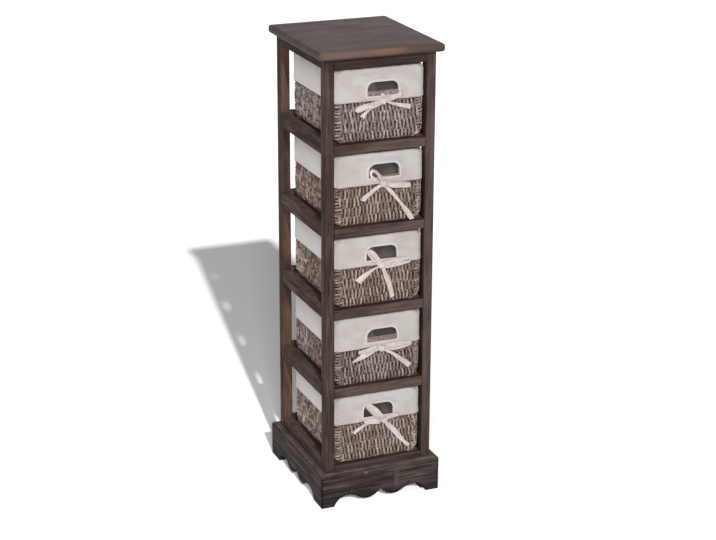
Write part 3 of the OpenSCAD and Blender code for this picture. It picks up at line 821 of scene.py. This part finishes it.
def weaveRim(shell, form):
    plan, halfX, halfY, slotX, slotZ = basketPlan, *(form[k] for k in ("halfX", "halfY", "slotX", "slotZ"))
    top, sink = form["top"], plan["cornerSink"][0]
    for down, high, tint in plan["rimCords"]:
        path = np.array([(x, y, top - down - sink * cornerNearness(x, y, halfX, halfY))
                         for x, y, segment, k in roundBasket(halfX, halfY, plan["rimSteps"])])
        shell.sweep(path, up, np.cross(headings(path, True), up), high, plan["rimThick"], 6, tint,
                    closed=True)
    # the cord that binds the hand hole; where the cloth's hole shows the weave's lip, cords lie along it
    edge = slotOutline(form["hole"], 72)
    path = track(edge[:, 0] + slotX, -halfY, edge[:, 1] + slotZ)
    shell.sweep(path, np.cross(headings(path, True), toFront), toFront, *plan["slotCord"], 8, 0.6,
                closed=True)
    reach = plan["slotWidth"] / 2 + plan["lipOver"]
    lip = slotZ - form["hole"][1] - plan["lipPitch"]
    while lip > slotZ - plan["lipOver"]:
        xs = np.linspace(-reach, reach, 30) + slotX
        path = track(xs, -halfY - plan["lipOut"], lip + 0.25 * np.sin(xs / 5 + lip))
        shell.sweep(path, up, toFront, *plan["lipCord"], 8, 0.75 + 0.2 * math.sin(lip * 3))
        lip -= plan["lipPitch"]


def weaveFloor(shell, form, rng):
    plan = basketPlan
    reachX, reachY = form["halfX"] - plan["curls"][1], form["halfY"] - plan["curls"][0]
    high, long = plan["floorWave"]
    count = round(2 * reachY / plan["floorPitch"])
    for c in range(count + 1):
        xs = np.linspace(-reachX, reachX, 24)
        wave = np.sin(xs / long + (c % 2) * math.pi)
        path = track(xs, -reachY + c * 2 * reachY / count, plan["floorUp"] + high * wave)
        shell.sweep(path, (0, 1, 0), up, *plan["floorCord"], 6, rng.random(), wave * -0.5)
    for x in np.arange(-reachX + plan["barFrom"], reachX, plan["barPitch"]):
        path = track(x, np.linspace(-reachY, reachY, 30), plan["floorUp"])
        shell.sweep(path, (1, 0, 0), up, *plan["barCord"], 5, 0.2)


def buildWeave(index):
    form, shell, rng = basketForm(index), Shell(), random.Random(basketPlan["seed"] + index)
    weaveUprights(shell, form, rng)
    weaveRows(shell, form, rng)
    for corner in (1, 3, 5, 7):
        weaveCorner(shell, form, rng, corner)
    weaveRim(shell, form)
    weaveFloor(shell, form, rng)
    finish = seagrassFinish(index, (form["middle"][2] + form["hem"]) * mm)
    piece = shell.make(f"seagrass_basket_{index}", form["middle"], finish)
    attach(piece, f"basket_{index}")
    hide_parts(f"basket_weave_{index}")
    return piece


for index in range(1, basketPlan["count"] + 1):
    woven = buildWeave(index)
    print("basket", index, "woven with", len(woven.data.polygons), "faces")


# cloth liners

clothPlan = {
    # thickness, corner radius, how much wider than the solid to each side, and the bag's inset and
    # corner radius
    "thick": 1.0, "round": 12.5, "widen": 0.8, "bagInset": 12.7, "bagRound": 4.0,
    # the inside colour is painted light on the bag's inside, and the gaps colour is painted shade between the
    # threads
    "colour": (213, 207, 203), "shade": (184, 176, 171), "inside": (250, 240, 233), "gaps": (150, 142, 134),
    # painted light: the skirts' sides grow paler from the rim down: millimetres of cloth from the turned-in
    # hem
    "side": (250, 245, 240), "paintedSideLight": (76, 18, 0, 0.88),
    "binding": (220, 215, 211), "bindingHalf": (2.7, 1.15), "bindingSpread": 1.5, "bindingRound": 12,
    "thread": 0.62, "bindingThread": 0.5,
    # rows of points, from the turned-in hem over the rim to the bag's floor: how far in, and the
    # height over the skirt's hem or the depth under the rim
    "hemRows": [(1.62, 8.6), (1.62, 4.5), (1.6, 1.4), (1.1, 0.45), (0.5, 1.2)],
    "skirtInset": 0.5, "skirtEnds": (3.2, 4.6), "skirtStep": 4,
    "rimRows": [(0.9, 2.9), (1.9, 1.5), (3.6, 0.8), (6.8, 0.5), (10.2, 0.5), (11.8, 1.3), (12.5, 2.6)],
    "bagEnds": (5.5, 18), "bagRows": 30, "bagFoot": 5.75, "bagBend": 10, "bagBendY": 4, "bendRows": 5,
    "bendStep": 3.2,
    "sideStep": 4.0, "cornerStep": 3.4, "cornerLength": 24,
    # folds, each with its share of slow and of quick waves: how fine they are, the rim's and the hem's
    # rise and fall, the skirt's where it is held and where it is free, and the bag's, which lies slack
    "fine": (0.035, 0.11, 0.05), "rimFolds": (1.2, 0.9), "hemFolds": (1.3, 0.8), "heldFolds": (0.35, 0.15),
    "freeFolds": (0.7, 0.5), "bagFolds": (0.9, 0.7), "slack": 0.7, "slackFrom": 30,
    "skirtRange": (-0.35, 0.9), "freeFrom": 58,
    "hemFold": 9.0, "hemSwell": 0.45,  # height of the turned-in hem, and how far it pushes the skirt out
    # depth under the rim at which it starts to rise and fall, and over how far; the insets at which
    # skirt and rim end; and how far the rim sways
    "rimMoves": (22, 20), "skirtTo": 2.5, "rimTo": 12, "rimShift": 0.3,
    # the bag's floor: how far in its rings lie, the cloth between them, and how high it lies
    "floorRings": (0.86, 0.7, 0.52, 0.34, 0.17), "floorStep": 16, "floorUp": 0.15, "floorSag": 0.35,
    "floorMiddle": 0.2,
    "ear": (5, 9, 4.0, 6),  # a basket whose rim stands up at one corner: reach, height and spread
    # the wire ring in the weave's upper edge, and how far from its middle the cloth stays
    "wireHalf": 1.5, "wireRound": 6.5, "wireClear": 2.3,
    # rings of faces round a hand hole, and the room they take beside it, under it in the skirt and in
    # the bag, and over it
    "holeLayers": 5, "holeMargin": 9, "holeUnder": (2.2, 9), "holeOver": 3,
}


def clothFinish(name, colour, shade, thread, side=None):
    f = Finish(name)
    u, v, zone = f.parts(f.read("thread"))
    turn = 2 * math.pi / thread
    cross = (u * turn).maths("SINE").maths("MAXIMUM", (v * turn).maths("SINE"))
    slub = f.noise(f.joined(u * 0.05, v * 1.4, zone), 1, 3, 0.6)
    slubs = f.noise(f.joined(u * 1.4, v * 0.05, zone + 5), 1, 3, 0.6)
    place = f.place()
    crease = f.noise(f.stretched(place, (26, 26, 46)), 1, 2, 0.45)
    cloudy = f.noise(f.stretched(place, (24, 24, 50)), 1, 3, 0.6)
    tone = f.blend(colour, shade, f.noise(place, 14, 2, 0.5), 0.35, 0.7, 0, 0.5)
    tone = f.blend(tone, shade, cloudy, 0.55, 0.38, 0, 0.4)
    tone = f.blend(tone, shade, slub * 0.5 + slubs * 0.5, 0.4, 0.62, 0.16, 0.0)
    # painted light: the skirt's sides are paler, most toward the hem
    if side:
        sideways = f.fit(f.parts(f.facing())[0].maths("ABSOLUTE"), 0.5, 0.85)
        tone = f.mix(f.fit(v, *clothPlan["paintedSideLight"]) * sideways, tone, side)
    # painted light: the bag's inside is paler than the cloth
    tone = f.mix(zone, tone, clothPlan["inside"])
    # painted shade in the gaps between threads
    tone = f.blend(tone, clothPlan["gaps"], cross, -0.6, 0.2, 0.16, 0.0)
    height = cross * 0.05 + slub * 0.16 + slubs * 0.12 + crease * 2.2
    return f.surface(slub, (0.95, 0.85), colour=tone, gloss=0.2, sheen=0.15, sheenRoughness=0.5,
                     normal=f.bump(height, 0.0018, 0.7))


linerCloth = clothFinish("liner cloth", clothPlan["colour"], clothPlan["shade"], clothPlan["thread"],
                         clothPlan["side"])
bindingCloth = clothFinish("binding tape", clothPlan["binding"], clothPlan["colour"],
                           clothPlan["bindingThread"])


def linerStations(halfX, halfY):
    # places round the liner, segment and share of it, from the seam in the middle of the back
    stations = []
    for segment in range(8):
        side = (halfY if segment % 4 else halfX) - clothPlan["round"]
        length, step = (2 * side, clothPlan["sideStep"]) if segment % 2 == 0 else (
            clothPlan["cornerLength"], clothPlan["cornerStep"])
        n = round(length / step)
        stations += [(segment, k / n) for k in range(n)]
    start = next(k for k, (segment, t) in enumerate(stations) if segment == 4 and t >= 0.5)
    return stations[start:] + stations[:start]


def linerRows(hem, rim):
    # inset and height of the rows, and the first one inside the rim
    plan, (over, under) = clothPlan, clothPlan["skirtEnds"]
    count = round((rim - hem - 8) / plan["skirtStep"])
    rows = [(inset, hem + high) for inset, high in plan["hemRows"]]
    rows += [(plan["skirtInset"], z) for z in np.linspace(hem + over, rim - under, count)]
    rows += [(inset, rim - deep) for inset, deep in plan["rimRows"]]
    first = len(rows)
    start, end = plan["bagEnds"]
    return rows + [(plan["bagInset"], z) for z in np.linspace(rim - start, end, plan["bagRows"])], first


def buildLiner(index):
    plan = clothPlan
    half, middle = boxOf(f"basket_liner_{index}")[:2]
    halfX, halfY = half[0] + plan["widen"], half[1]
    middle[2] = boxOf(f"basket_weave_{index}")[2][2]
    hem, rim, seed = basketPlan["hem"][index - 1], basketPlan["rim"], index * 13.7
    stations, (rows, first) = linerStations(halfX, halfY), linerRows(hem, rim)
    cols, flatHalf = len(stations), halfX - plan["round"]
    wire = boxOf(f"basket_wire_{index}")
    hoop = [size - plan["wireHalf"] for size in wire[0][:2]]
    hoopZ = wire[3][2] - middle[2] - plan["wireHalf"]
    earBasket, earReach, earHeight, earSpread = plan["ear"]

    def overWire(x, y, z):
        # the rim's cloth lies over the wire ring and never cuts it
        clear, r = plan["wireClear"], plan["wireRound"]
        overX, overY = abs(x) - hoop[0] + r, abs(y) - hoop[1] + r
        off = abs(math.hypot(max(overX, 0), max(overY, 0)) + min(max(overX, overY), 0) - r)
        if off >= clear or z < hoopZ - 2 * clear:
            return z
        return max(z, hoopZ + math.sqrt(clear ** 2 - off ** 2))

    def point(segment, t, inset, z, insetY=None):
        r = max(plan["bagRound"], plan["round"] - inset)
        (x, y), n = sectionPoint(halfX - inset, halfY - (inset if insetY is None else insetY), r, segment, t)
        here = Vector((x, y, z))
        long, short, tall = plan["fine"]
        slow = noise.noise(here * long + Vector((seed, 0, 0)))
        quick = noise.noise(Vector((here.x * short, here.y * short, here.z * tall + seed)))

        def folds(key):
            return plan[key][0] * slow + plan[key][1] * quick

        sink = basketPlan["cornerSink"][1] * cornerNearness(here.x, here.y, halfX, halfY)
        below, span = plan["rimMoves"]
        rise = (folds("rimFolds") - sink) * clamp((z - rim + below) / span) ** 2
        if inset < plan["skirtTo"]:
            # the skirt
            free = max(0.0, 1 - (z - hem) / plan["freeFrom"])
            (heldSlow, heldQuick), (freeSlow, freeQuick) = plan["heldFolds"], plan["freeFolds"]
            shift = (heldSlow + freeSlow * free) * slow + (heldQuick + freeQuick * free) * quick
            shift += plan["hemSwell"] * clamp((hem + plan["hemFold"] - z) / 1.5)
            shift = clamp(shift, *plan["skirtRange"])
            rise += folds("hemFolds") * free ** 2
        elif inset < plan["rimTo"]:
            # the rim
            shift = plan["rimShift"] * slow
        else:
            bagSlow, bagQuick = plan["bagFolds"]
            shift = -plan["slack"] - bagSlow * slow - bagQuick * quick
            shift *= min(1, (rim - z) / plan["slackFrom"])
        if index == earBasket and z > rim - earReach and inset < earReach:
            near = math.hypot(here.x - (halfX - earReach), here.y + (halfY - earReach))
            rise += earHeight * math.exp(-(near / earSpread) ** 2) * (z - rim + earReach) / earReach
        x, y = x + n[0] * shift, y + n[1] * shift
        return x, y, overWire(x, y, z + rise)

    points = [point(s, t, inset, z) for inset, z in rows for s, t in stations]
    # lengths of cloth round the liner, along a row of the skirt, and down it
    run, fall, level = [0.0], [0.0], 8 * cols
    for k in range(cols):
        run.append(run[-1] + math.dist(points[level + k][:2], points[level + (k + 1) % cols][:2]))
    for a, b in zip(rows, rows[1:]):
        fall.append(fall[-1] + math.dist(a, b))

    # the bag's lower edge and floor
    last, foot, bend = len(rows), plan["bagFoot"], plan["bagBend"]
    for k in range(1, plan["bendRows"] + 1):
        turn = k * math.pi / (2 * plan["bendRows"])
        z = foot + bend * (1 - math.sin(turn))
        insetY = plan["bagInset"] + roundOff(plan["bagBendY"] - (z - foot), plan["bagBendY"])
        rows.append((plan["bagInset"] + bend * (1 - math.cos(turn)), z))
        points += [point(s, t, rows[-1][0], z, insetY) for s, t in stations]
        fall.append(fall[-1] + plan["bendStep"])
    edge = points[-cols:]
    for scale in plan["floorRings"]:
        for x, y, z in edge:
            sag = plan["floorSag"] * noise.noise(Vector((x * scale * 0.05, y * scale * 0.05, seed)))
            points.append((x * scale, y * scale, foot + plan["floorUp"] + abs(sag)))
        rows.append((0, 0))
        fall.append(fall[-1] + plan["floorStep"])
    points.append((0, 0, foot + plan["floorMiddle"]))

    # hand hole: cells round it give way to rings that end on its outline
    slotX, slotZ = basketPlan["slotMiddle"][index - 1], basketPlan["slotBottom"][index - 1]
    slotWidth, slotHeight = basketPlan["slotWidth"], basketPlan["slotHeight"]
    front = {k: (2 * t - 1) * flatHalf for k, (s, t) in enumerate(stations) if s == 0}
    left = max(k for k, x in front.items() if x < slotX - slotWidth / 2 - plan["holeMargin"])
    right = min(k for k, x in front.items() if x > slotX + slotWidth / 2 + plan["holeMargin"])
    skirt, bag = range(len(plan["hemRows"]), first - len(plan["rimRows"])), range(first, last)
    holes, slotTop = [], slotZ + slotHeight + plan["holeOver"]
    for inner, span, under in zip((0.0, 1.0), (skirt, bag), plan["holeUnder"]):
        below = max((k for k in span if rows[k][1] < slotZ - under), key=lambda k: rows[k][1])
        above = min((k for k in span if rows[k][1] > slotTop), key=lambda k: rows[k][1])
        holes.append((inner, min(below, above), max(below, above)))

    faces, values = [], []

    def value(row, col):
        return run[col], fall[row], 1.0 if row >= first else 0.0

    for row in range(len(rows) - 1):
        for col in range(cols):
            if any(a <= row < b and left <= col < right for inner, a, b in holes):
                continue
            here, there, after = row * cols, (row + 1) * cols, (col + 1) % cols
            faces.append([here + col, here + after, there + after, there + col])
            values += [value(row, col), value(row, col + 1), value(row + 1, col + 1), value(row + 1, col)]
    centre, row = len(points) - 1, len(rows) - 1
    for col in range(cols):
        faces.append([row * cols + col, row * cols + (col + 1) % cols, centre])
        values += [value(row, col), value(row, col + 1), (run[col], fall[-1] + plan["floorStep"], 1)]

    def onFront(x, z, inset):
        return point(0, (x / flatHalf + 1) / 2, inset, z)

    for inner, a, b in holes:
        loop = [(a, c) for c in range(left, right)] + [(row, right) for row in range(a, b)]
        loop += [(b, c) for c in range(right, left, -1)] + [(row, left) for row in range(b, a, -1)]
        flat = [(front[c], rows[row][1]) for row, c in loop]
        # each point's end is where the outline has its direction from the hole's middle
        edge = slotOutline(basketPlan["bagSlot"] if inner else (0, 0, 0), 360)
        cz = slotZ + slotHeight / 2
        ways = np.arctan2((edge[:, 1] + slotZ - cz) / slotHeight, edge[:, 0] / slotWidth)
        boxX, boxZ = max(slotX - front[left], front[right] - slotX) * 2, abs(rows[a][1] - rows[b][1])
        ends = []
        for x, z in flat:
            way = math.atan2((z - cz) / boxZ, (x - slotX) / boxX)
            k = int(np.argmin(np.abs((ways - way + math.pi) % (2 * math.pi) - math.pi)))
            ends.append((edge[k, 0] + slotX, edge[k, 1] + slotZ))
        rings, spots = [[row * cols + c for row, c in loop]], [flat]
        for layer in range(1, plan["holeLayers"] + 1):
            share = layer / plan["holeLayers"]
            spots.append([(p[0] + (e[0] - p[0]) * share, p[1] + (e[1] - p[1]) * share)
                          for p, e in zip(flat, ends)])
            rings.append(range(len(points), len(points) + len(flat)))
            points += [onFront(x, z, rows[a][0]) for x, z in spots[-1]]
        down = -1 if inner else 1
        for layer in range(plan["holeLayers"]):
            for k in range(len(loop)):
                m = (k + 1) % len(loop)
                corners = ((layer, k), (layer, m), (layer + 1, m), (layer + 1, k))
                faces.append([rings[i][j] for i, j in corners])
                for x, z in (spots[i][j] for i, j in corners):
                    values.append((run[left] + x - front[left], fall[a] + down * (z - rows[a][1]), inner))

    shell = Shell()
    shell.points, shell.faces, shell.values = [np.array(points)], faces, values
    piece = shell.make(f"cloth_liner_{index}", middle, linerCloth, "thread")
    thicken(piece, plan["thick"])

    binding = Shell()
    edge = slotOutline((plan["bindingSpread"],) * 3, 110)
    path = np.array([onFront(x + slotX, z + slotZ, plan["skirtInset"]) for x, z in edge])
    binding.sweep(path, np.cross(headings(path, True), toFront), toFront, *plan["bindingHalf"], 10, 0.5,
                  closed=True)
    binding.values = [(u, around * plan["bindingRound"], 0) for u, around, *rest in binding.values]
    tape = binding.make(f"liner_binding_{index}", middle, bindingCloth, "thread")
    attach(piece, f"basket_{index}")
    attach(tape, f"basket_{index}")
    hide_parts(f"basket_liner_{index}")
    area = sum(p.area for p in piece.data.polygons) / 2
    return piece, area


def thicken(piece, thick):
    # gives a sheet its two faces, in its own mesh
    solid = piece.modifiers.new("cloth", "SOLIDIFY")
    solid.thickness, solid.offset = thick * mm, 0
    bpy.context.view_layer.update()
    done = bpy.data.meshes.new_from_object(piece.evaluated_get(bpy.context.evaluated_depsgraph_get()))
    old = piece.data
    piece.modifiers.clear()
    piece.data = done
    done.name = piece.name
    bpy.data.meshes.remove(old)


for index in range(1, basketPlan["count"] + 1):
    liner, area = buildLiner(index)
    print("liner", index, "hung, area", round(area, 3), "with", len(liner.data.polygons), "faces")


# ribbon bows

bowPlan = {
    "thick": 0.7, "colour": (226, 216, 211), "shade": (203, 189, 183), "crease": (166, 149, 141),
    "step": 2.2, "across": 11, "ribs": 0.7, "warp": 0.45,
    # the knot: half height, depth, and its two turns' shift, width and lean; mean radius of a turn
    "knotHalf": 6.4, "knotDeep": 5.4, "knotTurns": [(-2.4, 9.0, -0.6), (1.6, 10.5, 0.55)], "turnRadius": 5,
    "coreHalf": 6.5, "coreHigh": [2.4, 4.2, 5.2, 5.5, 5.2, 4.2, 2.4],
    "coreDeep": [1.3, 2.1, 2.5, 2.6, 2.5, 2.1, 1.3], "coreLift": 3.4, "turnLift": 0.6,
    "creases": (0.35, 0.42, 0.16),  # a band's arch, folds and ripple
    # how far a loop's under and over band lie off the skirt and how much they swell, its tip's turn,
    # then lift, slope and swell of a ring and a tail, and how much each is tilted
    "underLift": (1.5, 0.8), "overLift": (4.4, 1.2), "tip": 1.7, "loopTilt": 0.1,
    "ringLift": (4.2, -1.6, 1.2), "ringTilt": (0.25, 0.75), "tailLift": (2.6, -0.9, 0.5), "tailTilt": 0.22,
    # of each basket from the bottom one up: the knot and the strands. Points are x from the basket's
    # middle, z from the skirt's hem and the band's width. A loop has its under and its over band, a
    # tail ends in a cut (slant, notch), and a ring is an open eye.
    "bows": [
        ((13, -2), [
            ("tail", [(8, -2, 6), (-12, -2, 6), (-30, -7, 6), (-43, -13, 7), (-56, -22, 8)], (2, 0)),
            ("loop", [(19, 1, 8), (32, 4, 8), (46, 6, 7)], [(19, 2, 8), (32, 5, 8), (45, 7, 7)]),
            ("loop", [(4, -1, 10), (-7, 1, 10), (-18, 2, 9), (-27, 1, 8)],
             [(5, -3, 10), (-6, -1, 11), (-18, 0, 11), (-27, 0, 8)]),
            ("loop", [(8, 3, 11), (-5, 15, 13), (-15, 26, 13), (-21, 33, 12)],
             [(11, 3, 11), (-2, 16, 15), (-12, 27, 15), (-19, 34, 13)]),
            ("tail", [(14, -4, 7), (19, -10, 8), (27, -19, 11), (37, -29, 12), (47, -43, 11), (58, -57, 8),
                      (72, -71, 8)], (-3, 0))]),
        ((6, -3), [
            ("tail", [(3, -4, 6), (-8, -6, 5), (-21, -11, 8), (-36, -17, 11), (-48, -22, 8),
                      (-59, -26, 3)], (0, 0)),
            ("loop", [(-3, -1, 7), (-16, -4, 8), (-28, -7, 8), (-40, -8, 7)],
             [(-3, 3, 7), (-16, 0, 8), (-28, -3, 9), (-42, -5, 7)]),
            ("loop", [(14, -6, 7), (34, -8, 7), (52, -7, 6), (71, -4, 5)],
             [(14, 2, 10), (30, 1, 11), (48, 2, 9), (71, 1, 6)]),
            ("tail", [(11, -6, 5), (19, -11, 5), (34, -20, 7), (48, -32, 10), (61, -42, 11),
                      (72, -52, 12)], (-2, 0))]),
        ((4, 0), [
            ("tail", [(0, -3, 5), (-7, -5, 5), (-17, -10, 8), (-32, -19, 12), (-48, -31, 13)], (4, 0)),
            ("loop", [(10, -3, 10), (30, -2, 12), (48, -2, 8), (67, -1, 5)],
             [(10, 2, 11), (28, 5, 11), (46, 7, 8), (65, 9, 5)]),
            ("loop", [(-2, 3, 8), (-14, 16, 8), (-23, 28, 8)],
             [(3, 5, 8), (-7, 17, 10), (-15, 28, 10), (-20, 33, 8)]),
            ("tail", [(6, -4, 7), (9, -9, 7), (13, -20, 9), (20, -36, 13), (25, -52, 11),
                      (30, -73, 9)], (3, 0))]),
        ((8, 1), [
            ("tail", [(4, -1, 7), (-10, -8, 7), (-23, -18, 9), (-33, -26, 12), (-38, -31, 12)], (4, 0)),
            ("loop", [(16, 2, 8), (28, -2, 8), (41, -3, 9), (54, -4, 9), (62, -6, 8)],
             [(16, 0, 8), (28, -4, 9), (41, -5, 10), (54, -7, 10), (63, -8, 9)]),
            ("ring", [(7, 4, 8), (-1, 16, 10), (-8, 26, 10), (-16, 31, 8), (-21, 27, 6), (-18, 18, 6),
                      (-12, 11, 7), (-2, 4, 7)]),
            ("tail", [(12, -4, 7), (19, -11, 8), (27, -20, 8), (37, -32, 7), (46, -44, 5), (53, -53, 8),
                      (62, -65, 11), (73, -82, 10)], (-5, 0))]),
        ((5, 0), [
            ("tail", [(1, -3, 5), (-13, -10, 6), (-26, -17, 5), (-33, -23, 7), (-39, -30, 10)], (0, 3)),
            ("tail", [(11, -2, 4), (17, -4, 4), (28, -8, 6), (43, -12, 8), (55, -15, 10),
                      (66, -18, 10)], (1, 0)),
            ("tail", [(5, 2, 7), (4, 9, 7), (5, 15, 6)], (2, 0)),
            ("loop", [(10, 0, 8), (21, 2, 9), (33, 6, 9), (44, 9, 8)],
             [(10, 2, 8), (21, 4, 9), (34, 8, 10), (45, 10, 9)]),
            ("loop", [(1, 0, 9), (-9, -4, 10), (-23, -7, 10), (-37, -9, 10), (-48, -12, 10)],
             [(1, -1, 9), (-9, -6, 10), (-23, -8, 11), (-37, -11, 11), (-49, -14, 11)])]),
    ],
}


def smoothRun(points):
    # an even run of points on a soft curve through the given ones
    p = np.array(points, float)
    q = np.vstack([2 * p[0] - p[1], p, 2 * p[-1] - p[-2]])
    out = []
    for k in range(1, len(q) - 2):
        a, b, c, d = q[k - 1:k + 3]
        for t in np.linspace(0, 1, 12, endpoint=False):
            out.append(0.5 * (2 * b + (c - a) * t + (2 * a - 5 * b + 4 * c - d) * t * t
                              + (3 * b - a - 3 * c + d) * t ** 3))
    out = np.array(out + [p[-1]])
    run = runOf(out[:, :2])
    return pointsAt(np.linspace(0, run[-1], max(5, round(run[-1] / bowPlan["step"]) + 1)), run, out)


def offSkirt(flat, lift):
    # x, out, z and width of a band from its x, z and width and how far it lies off the skirt
    return np.column_stack([flat[:, 0], -lift, flat[:, 1:]])


def widthOf(path, tilt):
    # the width direction of a band that lies on the skirt, turned out of its plane by tilt
    ahead = headings(path)
    flat = np.cross(ahead, toFront)
    flat /= np.linalg.norm(flat, axis=1)[:, None] + 1e-9
    for k in range(1, len(path)):
        if np.dot(flat[k], flat[k - 1]) < 0:
            flat[k] *= -1
    return flat * np.cos(tilt)[:, None] + np.cross(ahead, flat) * np.sin(tilt)[:, None]


def layRibbon(shell, path, wide, width, seed, cut):
    # a creased flat band along path; wide holds its width directions
    n, ahead, run = len(path), headings(path), runOf(path)
    deep = np.cross(wide, ahead)
    deep *= np.sign(np.median(-deep[:, 1]) or 1)
    half, across = bowPlan["thick"] / 2, np.linspace(-1, 1, bowPlan["across"])
    arch, fold, ripple = bowPlan["creases"]
    for k in range(n):
        drift = 0.5 * math.sin(run[k] / 9 + seed)
        crease = (arch * (1 - across ** 2) + fold * np.abs(np.sin(1.5 * math.pi * (across + 0.35 * drift)))
                  + ripple * np.sin(across * 9 + run[k] / 6 + seed)) * min(1, width[k] / 7)
        mid = path[k] + wide[k] * (across * width[k] / 2)[:, None] + deep[k] * crease[:, None]
        if k == n - 1:
            mid += ahead[k] * (cut[0] * across / 2 + cut[1] * np.abs(across))[:, None]
        shell.points.append(np.vstack([mid + deep[k] * half, (mid - deep[k] * half)[::-1]]))
    at = np.concatenate([across, across[::-1]]) * 5
    shell.skin(n, len(at), lambda i, j: (0 if j is None else at[j % len(at)], run[i], seed))
    return run[-1]


def ribbonFinish():
    f = Finish("ribbon")
    u, v, zone = f.parts(f.read("thread"))
    ribs = (v * (2 * math.pi / bowPlan["ribs"])).maths("SINE")
    warp = (u * (2 * math.pi / bowPlan["warp"])).maths("SINE")
    soft = f.noise(f.place(), 60, 3, 0.55)
    crush = f.noise(f.joined(u * 0.5, v * 0.05, zone), 1, 3, 0.6)
    tone = f.blend(bowPlan["colour"], bowPlan["shade"], soft, 0.35, 0.7, 0, 0.7)
    # painted shade in the hollows where the ribbon is crushed
    tone = f.blend(tone, bowPlan["crease"], crush, 0.36, 0.52, 0.55, 0)
    return f.surface(soft, (0.75, 0.6), colour=tone, gloss=0.25, sheen=0.2, sheenRoughness=0.4,
                     normal=f.bump(ribs * 0.05 + warp * 0.03 + crush * 1.1, 0.0009, 0.6))


ribbonCotton = ribbonFinish()


def foldedLoop(under, over):
    # out along the cloth, round a small turn, and back over itself to the knot
    under, over = smoothRun(under), smoothRun(over)
    lift, swell = bowPlan["underLift"]
    first = offSkirt(under, lift + swell * np.sin(math.pi * np.linspace(0, 1, len(under))))
    lift, swell = bowPlan["overLift"]
    back = offSkirt(over, lift + swell * np.sin(math.pi * np.linspace(0, 1, len(over)) ** 0.8))[::-1]
    heading = under[-1, :2] - under[-3, :2]
    heading /= np.linalg.norm(heading)
    tip = []
    for a in np.linspace(0, math.pi, 7)[1:-1]:
        share = (1 - math.cos(a)) / 2
        spot = first[-1] * (1 - share) + back[0] * share
        spot[[0, 2]] += heading * bowPlan["tip"] * math.sin(a)
        tip.append(spot)
    return np.vstack([first, tip, back])


def tieKnot(shell, x, z):
    # two bands wrapped over the crossing, and the core that fills them
    high, deep, off = bowPlan["knotHalf"], bowPlan["knotDeep"], bowPlan["turnLift"]
    for shift, wide, lean in bowPlan["knotTurns"]:
        turn = np.linspace(0, 2 * math.pi, 27)[:-1]
        path = np.column_stack([x + shift + high * np.sin(turn) * math.sin(lean),
                                -(deep / 2 + off - deep / 2 * np.cos(turn)) * (1 + 0.06 * shift),
                                z + high * np.sin(turn) * math.cos(lean)])
        across, ahead = np.tile((math.cos(lean), 0, -math.sin(lean)), (len(path), 1)), headings(path, True)
        across *= np.sign(np.sum(np.cross(across, ahead) * (path - path.mean(0)), axis=1))[:, None]
        shell.sweep(path, across, np.cross(ahead, across), wide / 2, 1.0, 12, 0.5, closed=True)
    reach = bowPlan["coreHalf"]
    core = track(x + np.linspace(-reach, reach, len(bowPlan["coreHigh"])), -bowPlan["coreLift"], z)
    shell.sweep(core, up, (0, 1, 0), bowPlan["coreHigh"], bowPlan["coreDeep"], 12, 0.5)
    return len(bowPlan["knotTurns"]) * 2 * math.pi * bowPlan["turnRadius"]


def buildBow(index):
    plan, (knot, strands) = bowPlan, bowPlan["bows"][index - 1]
    skirtFace = boxOf(f"basket_liner_{index}")[2][1]
    base = boxOf(f"basket_weave_{index}")[2][2] + basketPlan["hem"][index - 1]
    shell, length = Shell(), 0.0
    for order, (kind, points, *rest) in enumerate(strands):
        seed = index * 3.1 + order * 1.7
        cut = rest[0] if kind == "tail" else (0, 0)
        if kind == "loop":
            band = foldedLoop(points, rest[0])
            tilt = plan["loopTilt"] * np.sin(np.linspace(0, 6, len(band)) + seed)
        else:
            # a tail starts in the knot
            flat = smoothRun(points if kind == "ring" else [(*knot, points[0][2])] + points)
            t = np.linspace(0, 1, len(flat))
            lift, slope, swell = plan[f"{kind}Lift"]
            if kind == "ring":
                lift = lift + slope * t + swell * np.sin(math.pi * t)
                tilt = plan["ringTilt"][0] + plan["ringTilt"][1] * np.sin(math.pi * t) ** 2
            else:
                lift = lift + slope * t + swell * np.sin(t * 6 + seed)
                tilt = plan["tailTilt"] * np.sin(t * 5 + seed)
            band = offSkirt(flat, lift)
        path = band[:, :3]
        length += layRibbon(shell, path, widthOf(path, tilt), band[:, 3], seed, cut)
    length += tieKnot(shell, *knot)
    piece = shell.make(f"ribbon_bow_{index}", (0, skirtFace, base), ribbonCotton, "thread")
    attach(piece, f"basket_{index}")
    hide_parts(f"basket_bow_{index}")
    round(length / 1000, 3)
    return length


for index in range(1, basketPlan["count"] + 1):
    print("bow", index, "tied from", round(buildBow(index)), "mm of ribbon")

bpy.context.view_layer.update()
